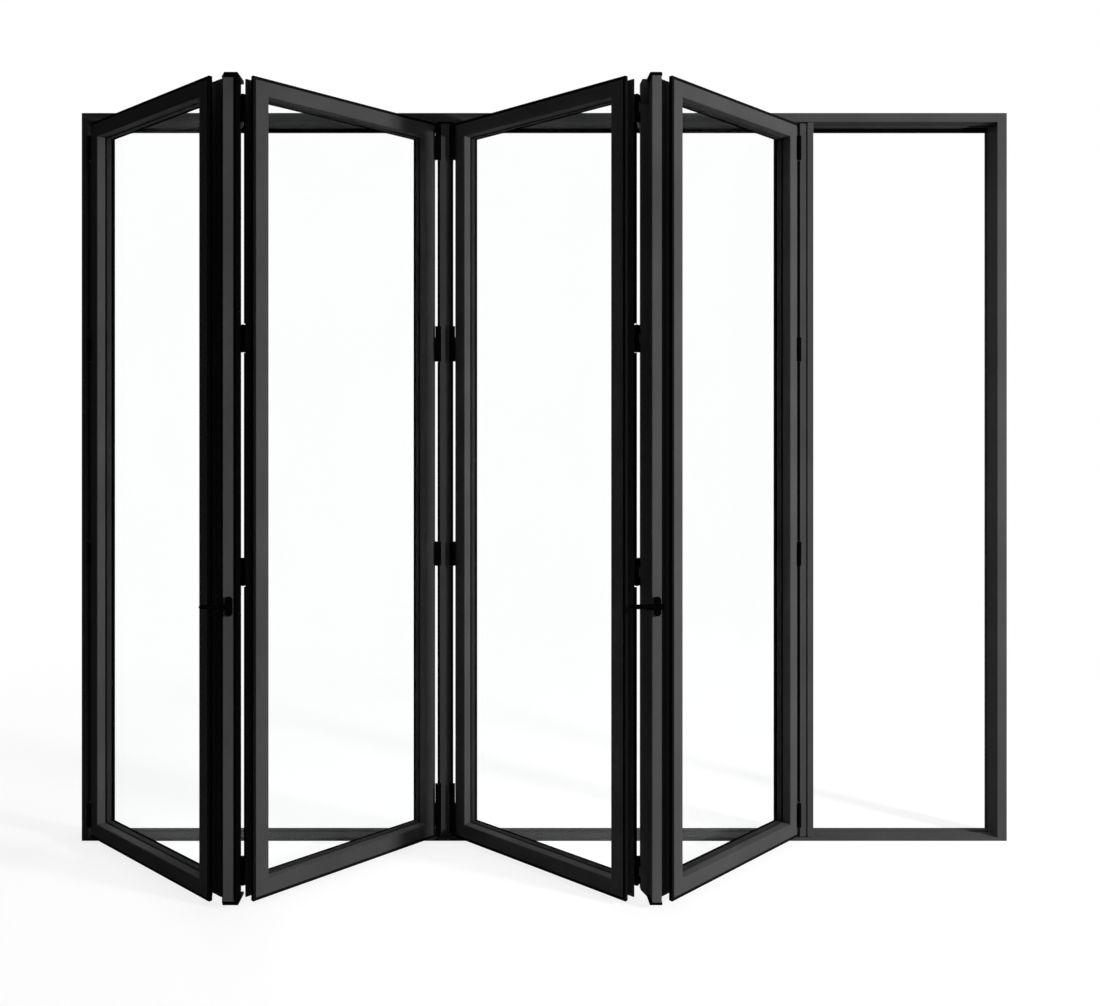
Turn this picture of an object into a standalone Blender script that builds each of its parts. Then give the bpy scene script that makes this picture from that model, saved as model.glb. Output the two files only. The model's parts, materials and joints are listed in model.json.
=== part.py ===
# Bifold glass patio door, four glazed leaves on a top track, shown part folded.
# Units are metres.  X runs along the opening, Y runs from the outside to the room, Z is up.
# The origin is on the underside of the sill, at its middle.
import math

import bmesh
import bpy
from mathutils import Matrix, Vector

# Outer frame
FRAME_WIDTH = 3.050
FRAME_HEIGHT = 2.400
FRAME_DEPTH = 0.084
HINGE_JAMB_FACE = 0.0205
LOCK_JAMB_FACE = 0.0305
HEAD_FACE = 0.029
SILL_HEIGHT = 0.011
STOP_PROUD = 0.003
STOP_WIDTH = 0.008
HEAD_LIP = 0.0145

# Track in the head and groove in the sill
TRACK_FROM_FRONT = 0.056
TRACK_SLOT = 0.010
TRACK_FLOOR = 0.004
TRACK_ROOF = 0.004
TRACK_CAVITY = 0.036
GUIDE_SLOT = 0.010
GUIDE_FLOOR = 0.004

# Folding leaves.  Leaf A, on the jamb, is a little wider than the other three.
FOLD_ANGLE = math.radians(43.5)
LEAF_A_EXTRA = 0.0112
LEAF_SETBACK = 0.002
LEAF_CLEARANCE = 0.003
LEAF_TOP_CLEARANCE = 0.005
SASH_FACE = 0.042
REBATE = 0.014
FRONT_LEG = 0.030
LIP_THICKNESS = 0.004
REAR_STEP = 0.007
EDGE_GROOVE_DEPTH = 0.005
EDGE_GROOVE_WIDTH = 0.016
EDGE_GROOVE_TO_LIP = 0.006
SIGHT_CHAMFER = 0.0015

# Rubber seal round three edges of a leaf
SEAL_WIDTH = 0.009
SEAL_DEPTH = 0.011

# Glass and its bead
GLASS_THICKNESS = 0.024
GLASS_EDGE_ROOM = 0.003
BEAD_DEPTH = 0.0114
BEAD_SLOPE = 0.005

# Posts between the leaves.  A room runs from a hinge axis to the side of the post, and is
# negative where the post reaches over the axis.
POST_GAP = 0.008
NEAR_POST_1_WIDTH = 0.0398
NEAR_POST_1_LEFT_ROOM = 0.004
NEAR_POST_1_RIGHT_ROOM = 0.0085
NEAR_POST_1_LEFT_NOTCH = 0.0033
NEAR_POST_1_RIGHT_NOTCH = 0.0045
NEAR_POST_1_FLANGE = 0.0112
NEAR_POST_2_WIDTH = 0.0285
NEAR_POST_2_LEFT_ROOM = 0.0360
NEAR_POST_2_RIGHT_ROOM = -0.0056
NEAR_POST_2_NOTCH = 0.001
NEAR_POST_2_FLANGE = 0.0250
FLANGE_BEHIND_LIP = 0.003
NEAR_POST_CAP = 0.009
NEAR_POST_CAP_CHAMFER = 0.004
FAR_POST_WIDTH = 0.0443
FAR_POST_NOTCH = 0.0045
NOTCH_DEPTH = 0.006
FAR_POST_GROOVE = 0.005
END_POST_WIDTH = 0.0235
END_POST_STEP_WIDTH = 0.008
END_POST_STEP_DEPTH = 0.003
CLOSING_STRIP_WIDTH = 0.0205
CLOSING_STRIP_GROOVE = 0.006
CLOSING_STRIP_GROOVE_WIDTH = 0.016
CLOSING_GAP = 0.003

# Hinges
END_HINGE_INSET_BOTTOM = 0.072
END_HINGE_INSET_TOP = 0.082
LOWER_HINGE_SHARE = 0.392
UPPER_HINGE_SHARE = 0.698
HINGE_HEIGHT = 0.078
KNUCKLE_RADIUS = 0.006
KNUCKLE_PLAY = 0.0005
KNUCKLE_ROOM = 0.002
MIDDLE_KNUCKLE = 0.028
PIN_RADIUS = 0.003
BORE_PLAY = 0.0003
BARREL_SIDES = 8
FRONT_AXIS_PROUD = 0.006
BACK_AXIS_INSET = 0.016
PLATE_THICKNESS = 0.0035
PLATE_LENGTH = 0.030
END_PLATE_THICKNESS = 0.0065
WEB_THICKNESS = 0.005
BITE = 0.001

# Lever handles
HANDLE_HEIGHT = 0.862
ESCUTCHEON_WIDTH = 0.020
ESCUTCHEON_HEIGHT = 0.056
ESCUTCHEON_THICKNESS = 0.006
NECK_RADIUS = 0.0065
LEVER_STANDOFF = 0.040
LEVER_REACH = 0.080
LEVER_TAIL = 0.016
LEVER_HEIGHT = 0.015
LEVER_TIP_HEIGHT = 0.011
LEVER_THICKNESS = 0.010

# Carriages in the head and shoes in the sill
WHEEL_RADIUS = 0.0055
WHEEL_WIDTH = 0.007
WHEEL_SPACING = 0.034
TROLLEY_LENGTH = 0.052
TROLLEY_WIDTH = 0.014
TROLLEY_HEIGHT = 0.007
HANGER_RADIUS = 0.0035
SHOE_LENGTH = 0.024
ROUND_SIDES = 12

# Gap left between faces that touch
SEAT = 0.0003

# Worked out from the sizes above
HEAD_BOTTOM = FRAME_HEIGHT - HEAD_FACE
FRONT = -FRAME_DEPTH / 2
BACK = FRAME_DEPTH / 2
OPENING_LEFT = -FRAME_WIDTH / 2 + HINGE_JAMB_FACE
OPENING_RIGHT = FRAME_WIDTH / 2 - LOCK_JAMB_FACE
HALF_GAP = POST_GAP / 2
NEAR_PITCH_1 = NEAR_POST_1_LEFT_ROOM + NEAR_POST_1_WIDTH + NEAR_POST_1_RIGHT_ROOM
NEAR_PITCH_2 = NEAR_POST_2_LEFT_ROOM + NEAR_POST_2_WIDTH + NEAR_POST_2_RIGHT_ROOM
FAR_PITCH = FAR_POST_WIDTH + POST_GAP
BETWEEN_LEAVES = NEAR_PITCH_1 + NEAR_PITCH_2 + FAR_PITCH + 3 * POST_GAP
ENDS = 2 * POST_GAP + END_POST_WIDTH + SEAT + CLOSING_STRIP_WIDTH + CLOSING_GAP
LEAF_WIDTH = (OPENING_RIGHT - OPENING_LEFT - BETWEEN_LEAVES - ENDS - LEAF_A_EXTRA) / 4
LEAF_BOTTOM = SILL_HEIGHT + LEAF_CLEARANCE
LEAF_TOP = HEAD_BOTTOM - LEAF_TOP_CLEARANCE
SASH_BOTTOM = LEAF_BOTTOM + SEAL_WIDTH
SASH_TOP = LEAF_TOP - SEAL_WIDTH
GLASS_FRONT = FRONT_LEG + SEAT
GLASS_BACK = GLASS_FRONT + GLASS_THICKNESS
LEAF_DEPTH = GLASS_BACK + SEAT + BEAD_DEPTH
REBATE_FLOOR = SASH_FACE - REBATE
BACK_AXIS_DEPTH = LEAF_DEPTH - BACK_AXIS_INSET
LIP_BACK = BACK_AXIS_DEPTH - KNUCKLE_RADIUS
LIP_FRONT = LIP_BACK - LIP_THICKNESS
EDGE_GROOVE_BACK = LIP_FRONT - EDGE_GROOVE_TO_LIP
EDGE_GROOVE_FRONT = EDGE_GROOVE_BACK - EDGE_GROOVE_WIDTH
RECESS_LOW = BACK_AXIS_DEPTH - KNUCKLE_RADIUS - KNUCKLE_ROOM
RECESS_HIGH = BACK_AXIS_DEPTH + KNUCKLE_RADIUS + KNUCKLE_ROOM
LOWEST_HINGE = LEAF_BOTTOM + END_HINGE_INSET_BOTTOM
HIGHEST_HINGE = LEAF_TOP - END_HINGE_INSET_TOP
HINGE_LEVELS = [
    LOWEST_HINGE + share * (HIGHEST_HINGE - LOWEST_HINGE)
    for share in (0, LOWER_HINGE_SHARE, UPPER_HINGE_SHARE, 1)
]
LINK_OFFSET = FRONT_AXIS_PROUD + BACK_AXIS_DEPTH


def fold_reach(width, angle):
    """How far the near axis of a leaf lies from its far axis, along the frame and outwards."""
    link = width + POST_GAP
    along = link * math.cos(angle) + LINK_OFFSET * math.sin(angle)
    outwards = link * math.sin(angle) - LINK_OFFSET * math.cos(angle)
    return along, outwards


def angle_for_reach(width, outwards):
    """The fold angle at which a leaf of this width reaches this far outwards."""
    link = width + POST_GAP
    return math.asin(outwards / math.hypot(link, LINK_OFFSET)) + math.atan2(LINK_OFFSET, link)


STEP_X, STEP_Y = fold_reach(LEAF_WIDTH, FOLD_ANGLE)
LEAF_A_WIDTH = LEAF_WIDTH + LEAF_A_EXTRA
LEAF_A_ANGLE = angle_for_reach(LEAF_A_WIDTH, STEP_Y)
STEP_A_X = fold_reach(LEAF_A_WIDTH, LEAF_A_ANGLE)[0]
FAR_AXIS_Y = FRONT + LEAF_SETBACK - FRONT_AXIS_PROUD
NEAR_AXIS_Y = FAR_AXIS_Y - STEP_Y
AXIS_A = OPENING_LEFT + HALF_GAP
AXIS_1_LEFT = AXIS_A + STEP_A_X
AXIS_B = AXIS_1_LEFT + NEAR_PITCH_1 + STEP_X
AXIS_C = AXIS_B + FAR_PITCH
AXIS_2_LEFT = AXIS_C + STEP_X
AXIS_D = AXIS_2_LEFT + NEAR_PITCH_2 + STEP_X
POST_FRONT_Y = FRONT + LEAF_SETBACK
NEAR_POST_Y = NEAR_AXIS_Y - BACK_AXIS_DEPTH
TRACK_Y = FRONT + TRACK_FROM_FRONT


def clear_scene():
    for item in list(bpy.data.objects):
        bpy.data.objects.remove(item, do_unlink=True)


def make_material(name, colour, roughness, metallic, transmission=0.0):
    material = bpy.data.materials.new(name)
    material.use_nodes = True
    shader = material.node_tree.nodes["Principled BSDF"]
    shader.inputs["Base Color"].default_value = (*colour, 1.0)
    shader.inputs["Roughness"].default_value = roughness
    shader.inputs["Metallic"].default_value = metallic
    shader.inputs["Transmission Weight"].default_value = transmission
    return material


def mesh_from(bm, name="shape"):
    bmesh.ops.recalc_face_normals(bm, faces=bm.faces)
    mesh = bpy.data.meshes.new(name)
    bm.to_mesh(mesh)
    bm.free()
    return mesh


def prism(outline, low, high, axis="Z"):
    """Extrude a closed outline along one axis; the outline is given in the other two."""
    place = {
        "Z": lambda a, b, c: (a, b, c),
        "Y": lambda a, b, c: (a, c, b),
        "X": lambda a, b, c: (c, a, b),
    }[axis]
    bm = bmesh.new()
    base = bm.faces.new([bm.verts.new(place(a, b, low)) for a, b in outline])
    grown = bmesh.ops.extrude_face_region(bm, geom=[base])
    moved = [item for item in grown["geom"] if isinstance(item, bmesh.types.BMVert)]
    bmesh.ops.translate(bm, verts=moved, vec=Vector(place(0, 0, high - low)))
    return mesh_from(bm)


def box(x_low, x_high, y_low, y_high, z_low, z_high):
    outline = [(x_low, y_low), (x_high, y_low), (x_high, y_high), (x_low, y_high)]
    return prism(outline, z_low, z_high)


def round_outline(radius, sides, centre=(0.0, 0.0)):
    step = 2 * math.pi / sides
    return [
        (centre[0] + radius * math.cos(step * (i + 0.5)), centre[1] + radius * math.sin(step * (i + 0.5)))
        for i in range(sides)
    ]


def corner_arc(corner, radius, start_degrees, steps=3):
    """Points that round a right-angled corner, turning left from start_degrees."""
    turn = math.radians(start_degrees)
    centre_x = corner[0] - radius * (math.cos(turn) + math.cos(turn + math.pi / 2))
    centre_y = corner[1] - radius * (math.sin(turn) + math.sin(turn + math.pi / 2))
    return [
        (
            centre_x + radius * math.cos(turn + math.pi / 2 * i / steps),
            centre_y + radius * math.sin(turn + math.pi / 2 * i / steps),
        )
        for i in range(steps + 1)
    ]


def tube(radius, bore, low, high):
    """A barrel with a round hole right through it."""
    outer = prism(round_outline(radius, BARREL_SIDES), low, high)
    hole = prism(round_outline(bore, BARREL_SIDES), low - BITE, high + BITE)
    return combine(outer, [hole], "DIFFERENCE")


def combine(base, others, operation="UNION"):
    """Join or cut closed meshes one after another and give back one mesh."""
    target = bpy.data.objects.new("target", base)
    bpy.context.scene.collection.objects.link(target)
    tools = []
    for other in others:
        tool = bpy.data.objects.new("tool", other)
        bpy.context.scene.collection.objects.link(tool)
        tools.append(tool)
        step = target.modifiers.new("step", "BOOLEAN")
        step.operation = operation
        step.solver = "EXACT"
        step.object = tool
    graph = bpy.context.evaluated_depsgraph_get()
    result = bpy.data.meshes.new_from_object(target.evaluated_get(graph))
    for item in [target, *tools]:
        bpy.data.objects.remove(item, do_unlink=True)
    return result


def moved(mesh, x=0.0, y=0.0, z=0.0, mirror=False):
    """A copy of a mesh, mirrored across X if asked, then shifted."""
    copy = mesh.copy()
    if mirror:
        copy.transform(Matrix.Scale(-1, 4, (1, 0, 0)))
        copy.flip_normals()
    copy.transform(Matrix.Translation((x, y, z)))
    return copy


def cut_away(bm, point, normal):
    """Slice a bar with a plane, drop the side the normal points to and close the cut."""
    everything = list(bm.verts) + list(bm.edges) + list(bm.faces)
    result = bmesh.ops.bisect_plane(
        bm, geom=everything, plane_co=Vector(point), plane_no=Vector(normal), clear_outer=True, dist=1e-7
    )
    rim = [item for item in result["geom_cut"] if isinstance(item, bmesh.types.BMEdge)]
    bmesh.ops.holes_fill(bm, edges=rim, sides=0)


def add_part(name, mesh, material, location=(0, 0, 0), turn=0.0, smooth=True, parent=None):
    mesh.name = name
    item = bpy.data.objects.new(name, mesh)
    bpy.context.scene.collection.objects.link(item)
    mesh.materials.clear()
    mesh.materials.append(material)
    if smooth:
        mesh.shade_smooth()
        mesh.set_sharp_from_angle(angle=math.radians(50))
    item.location = location
    item.rotation_euler = (0, 0, turn)
    if parent is not None:
        item.parent = parent
    return item


def add_pivot(name, x, y, turn=0.0):
    pivot = bpy.data.objects.new(name, None)
    bpy.context.scene.collection.objects.link(pivot)
    pivot.location = (x, y, 0)
    pivot.rotation_euler = (0, 0, turn)
    return pivot


# Hinges.  The hinge axis is at x = 0, y = 0.  The carrier of each half is on the +x side.
def knuckle_spans():
    low = -HINGE_HEIGHT / 2
    middle = MIDDLE_KNUCKLE / 2
    return [(low, -middle - KNUCKLE_PLAY), (-middle, middle), (middle + KNUCKLE_PLAY, -low)]


def neck(x_low, x_high, y_low, y_high, span):
    return box(x_low, x_high, y_low, y_high, span[0], span[1])


def front_hinge_half(with_pin):
    """Half of a butt hinge: a plate in the gap and knuckles proud of the front faces."""
    bottom, middle, top = knuckle_spans()
    spans = [middle] if with_pin else [bottom, top]
    plate_low = HALF_GAP - PLATE_THICKNESS
    rise = HINGE_HEIGHT / 2 + BITE
    plate = box(
        plate_low, HALF_GAP + BITE, FRONT_AXIS_PROUD + BITE / 2, FRONT_AXIS_PROUD + PLATE_LENGTH,
        -rise, rise,
    )
    neck_start = PIN_RADIUS + BORE_PLAY + BITE
    pieces = [
        neck(plate_low, HALF_GAP - BITE / 4, neck_start, FRONT_AXIS_PROUD + BITE, span) for span in spans
    ]
    return [combine(plate, pieces + knuckles(spans, with_pin))]


def knuckles(spans, with_pin):
    if with_pin:
        barrel = prism(round_outline(KNUCKLE_RADIUS, BARREL_SIDES), *spans[0])
        pin = prism(round_outline(PIN_RADIUS, BARREL_SIDES), -HINGE_HEIGHT / 2, HINGE_HEIGHT / 2)
        return [barrel, pin]
    return [tube(KNUCKLE_RADIUS, PIN_RADIUS + BORE_PLAY, *span) for span in spans]


def back_hinge_leaf():
    """The leaf's half of a near hinge: two bored knuckles on webs behind its lip."""
    bottom, middle, top = knuckle_spans()
    start = PIN_RADIUS + BORE_PLAY + BITE / 4
    web_low = LIP_BACK - BACK_AXIS_DEPTH - BITE / 2
    pieces = []
    for span in (bottom, top):
        web = neck(start, HALF_GAP + SEAL_WIDTH + BITE, web_low, web_low + WEB_THICKNESS, span)
        pieces.append(combine(web, knuckles([span], False)))
    return pieces


def back_hinge_post(reach):
    """The post's half of a near hinge: the middle knuckle and the pin on an arm."""
    middle = knuckle_spans()[1]
    half = WEB_THICKNESS / 2
    arm = neck(PIN_RADIUS, reach + BITE, -half, half, middle)
    return [combine(arm, knuckles([middle], True))]


def with_hinges(carrier, halves, x, y, mirror=False):
    """Fuse one hinge half to its carrier at every level."""
    additions = [moved(piece, x, y, level, mirror) for level in HINGE_LEVELS for piece in halves]
    return combine(carrier, additions)


def end_plates(face_x, y, side):
    """Thin blocks that close the gap beside a far post above its top and below its bottom hinge."""
    outer = face_x + side * END_PLATE_THICKNESS
    inner = face_x - side * BITE
    low, high = min(inner, outer), max(inner, outer)
    room = HINGE_HEIGHT / 2 + BITE + KNUCKLE_PLAY
    spans = ((LEAF_BOTTOM, HINGE_LEVELS[0] - room), (HINGE_LEVELS[-1] + room, LEAF_TOP))
    return [box(low, high, y, y + PLATE_LENGTH, *span) for span in spans]


# Outer frame
def head_mesh():
    slot_low = TRACK_Y - TRACK_SLOT / 2
    slot_high = TRACK_Y + TRACK_SLOT / 2
    cavity_low = TRACK_Y - TRACK_CAVITY / 2
    cavity_high = TRACK_Y + TRACK_CAVITY / 2
    floor = HEAD_BOTTOM + TRACK_FLOOR
    roof = FRAME_HEIGHT - TRACK_ROOF
    outline = [
        (FRONT, HEAD_BOTTOM),
        (slot_low, HEAD_BOTTOM),
        (slot_low, floor),
        (cavity_low, floor),
        (cavity_low, roof),
        (cavity_high, roof),
        (cavity_high, floor),
        (slot_high, floor),
        (slot_high, HEAD_BOTTOM),
        (BACK - STOP_WIDTH, HEAD_BOTTOM),
        (BACK - STOP_WIDTH, HEAD_BOTTOM - HEAD_LIP),
        (BACK, HEAD_BOTTOM - HEAD_LIP),
        (BACK, FRAME_HEIGHT),
        (FRONT, FRAME_HEIGHT),
    ]
    return prism(outline, OPENING_LEFT + SEAT, OPENING_RIGHT - SEAT, axis="X")


def sill_mesh():
    outline = [
        (FRONT, 0.0),
        (BACK, 0.0),
        (BACK, SILL_HEIGHT),
        (TRACK_Y + GUIDE_SLOT / 2, SILL_HEIGHT),
        (TRACK_Y + GUIDE_SLOT / 2, GUIDE_FLOOR),
        (TRACK_Y - GUIDE_SLOT / 2, GUIDE_FLOOR),
        (TRACK_Y - GUIDE_SLOT / 2, SILL_HEIGHT),
        (FRONT, SILL_HEIGHT),
    ]
    return prism(outline, OPENING_LEFT + SEAT, OPENING_RIGHT - SEAT, axis="X")


def jamb_mesh(face):
    """A jamb with its outer face at x = 0 and the opening on the +x side."""
    outline = [
        (0.0, FRONT),
        (face, FRONT),
        (face, BACK - STOP_WIDTH),
        (face + STOP_PROUD, BACK - STOP_WIDTH),
        (face + STOP_PROUD, BACK),
        (0.0, BACK),
    ]
    # The stop is cut back where the head lip and the sill run past it
    jamb = prism(outline, 0.0, FRAME_HEIGHT)
    notch = (face, face + STOP_PROUD + BITE, BACK - STOP_WIDTH - BITE, BACK + BITE)
    low = box(*notch, -BITE, SILL_HEIGHT + SEAT)
    high = box(*notch, HEAD_BOTTOM - HEAD_LIP - SEAT, FRAME_HEIGHT + BITE)
    return combine(jamb, [low, high], "DIFFERENCE")


def build_frame(paint):
    add_part("head", head_mesh(), paint)
    add_part("sill", sill_mesh(), paint)
    left = moved(jamb_mesh(HINGE_JAMB_FACE), x=-FRAME_WIDTH / 2)
    left = with_hinges(left, front_hinge_half(True), AXIS_A, FAR_AXIS_Y, mirror=True)
    add_part("jamb_left", left, paint)
    add_part("jamb_right", moved(jamb_mesh(LOCK_JAMB_FACE), x=FRAME_WIDTH / 2, mirror=True), paint)


# Leaves.  A leaf is built about its far hinge axis, with the leaf on the +x side
# and its front face at y = FRONT_AXIS_PROUD.  The mirrored leaf lies on the -x side.
def sash_outline(with_lip):
    """Section of a sash bar: first value inwards from its outer face, second from the front."""
    outline = [
        (0.0, 0.0),
        (SASH_FACE - SIGHT_CHAMFER, 0.0),
        (SASH_FACE, SIGHT_CHAMFER),
        (SASH_FACE, FRONT_LEG),
        (REBATE_FLOOR, FRONT_LEG),
        (REBATE_FLOOR, LEAF_DEPTH),
        (REAR_STEP, LEAF_DEPTH),
        (REAR_STEP, LIP_BACK),
    ]
    if with_lip:
        outline += [(-SEAL_WIDTH, LIP_BACK), (-SEAL_WIDTH, LIP_FRONT), (0.0, LIP_FRONT)]
    else:
        outline += [(0.0, LIP_BACK)]
    outline += [
        (0.0, EDGE_GROOVE_BACK),
        (EDGE_GROOVE_DEPTH, EDGE_GROOVE_BACK),
        (EDGE_GROOVE_DEPTH, EDGE_GROOVE_FRONT),
        (0.0, EDGE_GROOVE_FRONT),
    ]
    return outline


def sash_bar(origin, along, inward, length, with_lip, square_start=False, square_end=False):
    """A bar with mitred ends.  A square cut also trims the lip where the hinge edge is."""
    over = SEAL_WIDTH + BITE
    start = Vector(origin)
    along = Vector(along)
    inward = Vector(inward)
    back = Vector((0, 1, 0))
    bm = bmesh.new()
    section = [start - along * over + inward * t + back * b for t, b in sash_outline(with_lip)]
    base = bm.faces.new([bm.verts.new(point) for point in section])
    grown = bmesh.ops.extrude_face_region(bm, geom=[base])
    far = [item for item in grown["geom"] if isinstance(item, bmesh.types.BMVert)]
    bmesh.ops.translate(bm, verts=far, vec=along * (length + 2 * over))
    bmesh.ops.recalc_face_normals(bm, faces=bm.faces)
    end = start + along * length
    inset = SEAT / 2
    cut_away(bm, start + along * inset, -along + inward)
    cut_away(bm, end - along * inset, along + inward)
    if square_start:
        cut_away(bm, start, -along)
    if square_end:
        cut_away(bm, end, along)
    return mesh_from(bm)


def ring(outline, x_low, x_high, z_low, z_high):
    """A mitred ring: each point of the section gives one rectangle, inset by its first value."""
    bm = bmesh.new()
    loops = []
    for inset, depth in outline:
        corners = [
            (x_low + inset, z_low + inset),
            (x_high - inset, z_low + inset),
            (x_high - inset, z_high - inset),
            (x_low + inset, z_high - inset),
        ]
        loops.append([bm.verts.new((x, depth, z)) for x, z in corners])
    count = len(loops)
    for i in range(count):
        here = loops[i]
        after = loops[(i + 1) % count]
        for j in range(4):
            k = (j + 1) % 4
            bm.faces.new([here[j], here[k], after[k], after[j]])
    return mesh_from(bm)


def seal_mesh(width):
    """The rubber seal along the top, the near edge and the bottom, as one U."""
    x_low = HALF_GAP
    x_out = HALF_GAP + width
    inner = SEAL_WIDTH - SEAT
    y_front = FRONT_AXIS_PROUD + SEAT
    outline = [
        (x_low, LEAF_BOTTOM),
        (x_out, LEAF_BOTTOM),
        (x_out, LEAF_TOP),
        (x_low, LEAF_TOP),
        (x_low, LEAF_TOP - inner),
        (x_out - inner, LEAF_TOP - inner),
        (x_out - inner, LEAF_BOTTOM + inner),
        (x_low, LEAF_BOTTOM + inner),
    ]
    return prism(outline, y_front, y_front + SEAL_DEPTH, axis="Y")


def leaf_meshes(width):
    sash_width = width - SEAL_WIDTH
    x_far = HALF_GAP
    x_near = HALF_GAP + sash_width
    y_front = FRONT_AXIS_PROUD
    height = SASH_TOP - SASH_BOTTOM
    far_stile = sash_bar((x_far, y_front, SASH_BOTTOM), (0, 0, 1), (1, 0, 0), height, False)
    far_stile = with_hinges(far_stile, front_hinge_half(False), 0.0, 0.0)
    near_stile = sash_bar((x_near, y_front, SASH_BOTTOM), (0, 0, 1), (-1, 0, 0), height, True)
    near_stile = with_hinges(near_stile, back_hinge_leaf(), width + POST_GAP, LINK_OFFSET, mirror=True)
    bottom_rail = sash_bar(
        (x_far, y_front, SASH_BOTTOM), (1, 0, 0), (0, 0, 1), sash_width, True, square_start=True
    )
    top_rail = sash_bar(
        (x_far, y_front, SASH_TOP), (1, 0, 0), (0, 0, -1), sash_width, True, square_start=True
    )
    edge = REBATE_FLOOR + GLASS_EDGE_ROOM
    glass = box(
        x_far + edge, x_near - edge, y_front + GLASS_FRONT, y_front + GLASS_BACK,
        SASH_BOTTOM + edge, SASH_TOP - edge,
    )
    bead_front = y_front + GLASS_BACK + SEAT
    bead_back = y_front + LEAF_DEPTH
    bead = ring(
        [
            (REBATE_FLOOR + SEAT, bead_front),
            (SASH_FACE, bead_front),
            (SASH_FACE, bead_back - BEAD_SLOPE),
            (SASH_FACE - BEAD_SLOPE, bead_back),
            (REBATE_FLOOR + SEAT, bead_back),
        ],
        x_far, x_near, SASH_BOTTOM, SASH_TOP,
    )
    return {
        "hinge_stile": far_stile,
        "lock_stile": near_stile,
        "bottom_rail": bottom_rail,
        "top_rail": top_rail,
        "glass": glass,
        "glazing_bead": bead,
        "edge_seal": seal_mesh(width),
    }


def build_leaves(paint, glass_material, rubber):
    finish = {"glass": glass_material, "edge_seal": rubber}
    wide = leaf_meshes(LEAF_A_WIDTH)
    plain = leaf_meshes(LEAF_WIDTH)
    mirrored = {name: moved(mesh, mirror=True) for name, mesh in plain.items()}
    places = (
        ("leaf_a", wide, AXIS_A, -LEAF_A_ANGLE),
        ("leaf_b", mirrored, AXIS_B, FOLD_ANGLE),
        ("leaf_c", plain, AXIS_C, -FOLD_ANGLE),
        ("leaf_d", mirrored, AXIS_D, FOLD_ANGLE),
    )
    for leaf, meshes, axis_x, turn in places:
        pivot = add_pivot(leaf + "_pivot", axis_x, FAR_AXIS_Y, turn)
        for name, mesh in meshes.items():
            add_part(leaf + "_" + name, mesh.copy(), finish.get(name, paint), parent=pivot)


# Posts.  A post is built with its middle at x = 0 and its front face at y = 0.
def near_post_mesh(width, rooms, notches, flange):
    """A near post with a flange behind the lip of the leaf on its left."""
    half = width / 2
    left_room, right_room = rooms
    left_notch, right_notch = notches
    clear = KNUCKLE_RADIUS + KNUCKLE_ROOM
    left_side = -half
    if left_room < clear:
        left_side = clear - left_room - half
    right_side = half
    if right_room < clear:
        right_side = half - clear + right_room
    flange_front = LIP_BACK + FLANGE_BEHIND_LIP
    if left_room - flange < clear:
        flange_front = RECESS_HIGH
    outline = [
        (-half, NOTCH_DEPTH),
        (left_notch - half, NOTCH_DEPTH),
        (left_notch - half, 0.0),
        (half - right_notch, 0.0),
        (half - right_notch, NOTCH_DEPTH),
        (half, NOTCH_DEPTH),
        (half, RECESS_LOW),
    ]
    if right_side < half:
        outline.append((right_side, RECESS_LOW))
    outline += [(right_side, LEAF_DEPTH), (-half - flange, LEAF_DEPTH), (-half - flange, flange_front)]
    outline.append((left_side, flange_front))
    if left_side > -half:
        outline += [(left_side, RECESS_LOW), (-half, RECESS_LOW)]
    post = chamfer_ends(prism(outline, LEAF_BOTTOM, LEAF_TOP), half)
    left_arm = left_room - flange if flange_front < RECESS_HIGH else left_side + half + left_room
    right_arm = half - right_side + right_room
    post = with_hinges(post, back_hinge_post(left_arm), -half - left_room, BACK_AXIS_DEPTH)
    return with_hinges(post, back_hinge_post(right_arm), half + right_room, BACK_AXIS_DEPTH, mirror=True)


def chamfer_ends(mesh, half):
    """Slope the sides of a post's end caps."""
    bm = bmesh.new()
    bm.from_mesh(mesh)
    for side in (-1, 1):
        for end, direction in ((LEAF_TOP, 1), (LEAF_BOTTOM, -1)):
            point = (side * (half - NEAR_POST_CAP_CHAMFER), 0.0, end)
            cut_away(bm, point, (side * NEAR_POST_CAP, 0.0, direction * NEAR_POST_CAP_CHAMFER))
    return mesh_from(bm)


def post_groove(face, side):
    """Four points of a hardware groove in a post's side, front first."""
    floor = face - side * FAR_POST_GROOVE
    back = LIP_BACK + KNUCKLE_RADIUS
    return [(face, LIP_FRONT), (floor, LIP_FRONT), (floor, back), (face, back)]


def far_post_mesh():
    half = FAR_POST_WIDTH / 2
    front = half - FAR_POST_NOTCH
    outline = [(-half, NOTCH_DEPTH), (-front, NOTCH_DEPTH), (-front, 0.0), (front, 0.0)]
    outline += [(front, NOTCH_DEPTH), (half, NOTCH_DEPTH)]
    outline += post_groove(half, 1) + [(half, LEAF_DEPTH), (-half, LEAF_DEPTH)]
    outline += post_groove(-half, -1)[::-1]
    post = prism(outline, LEAF_BOTTOM, LEAF_TOP)
    post = combine(post, end_plates(half, NOTCH_DEPTH, 1) + end_plates(-half, NOTCH_DEPTH, -1))
    hinge = front_hinge_half(True)
    axis = half + HALF_GAP
    post = with_hinges(post, hinge, -axis, -FRONT_AXIS_PROUD)
    return with_hinges(post, hinge, axis, -FRONT_AXIS_PROUD, mirror=True)


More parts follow.
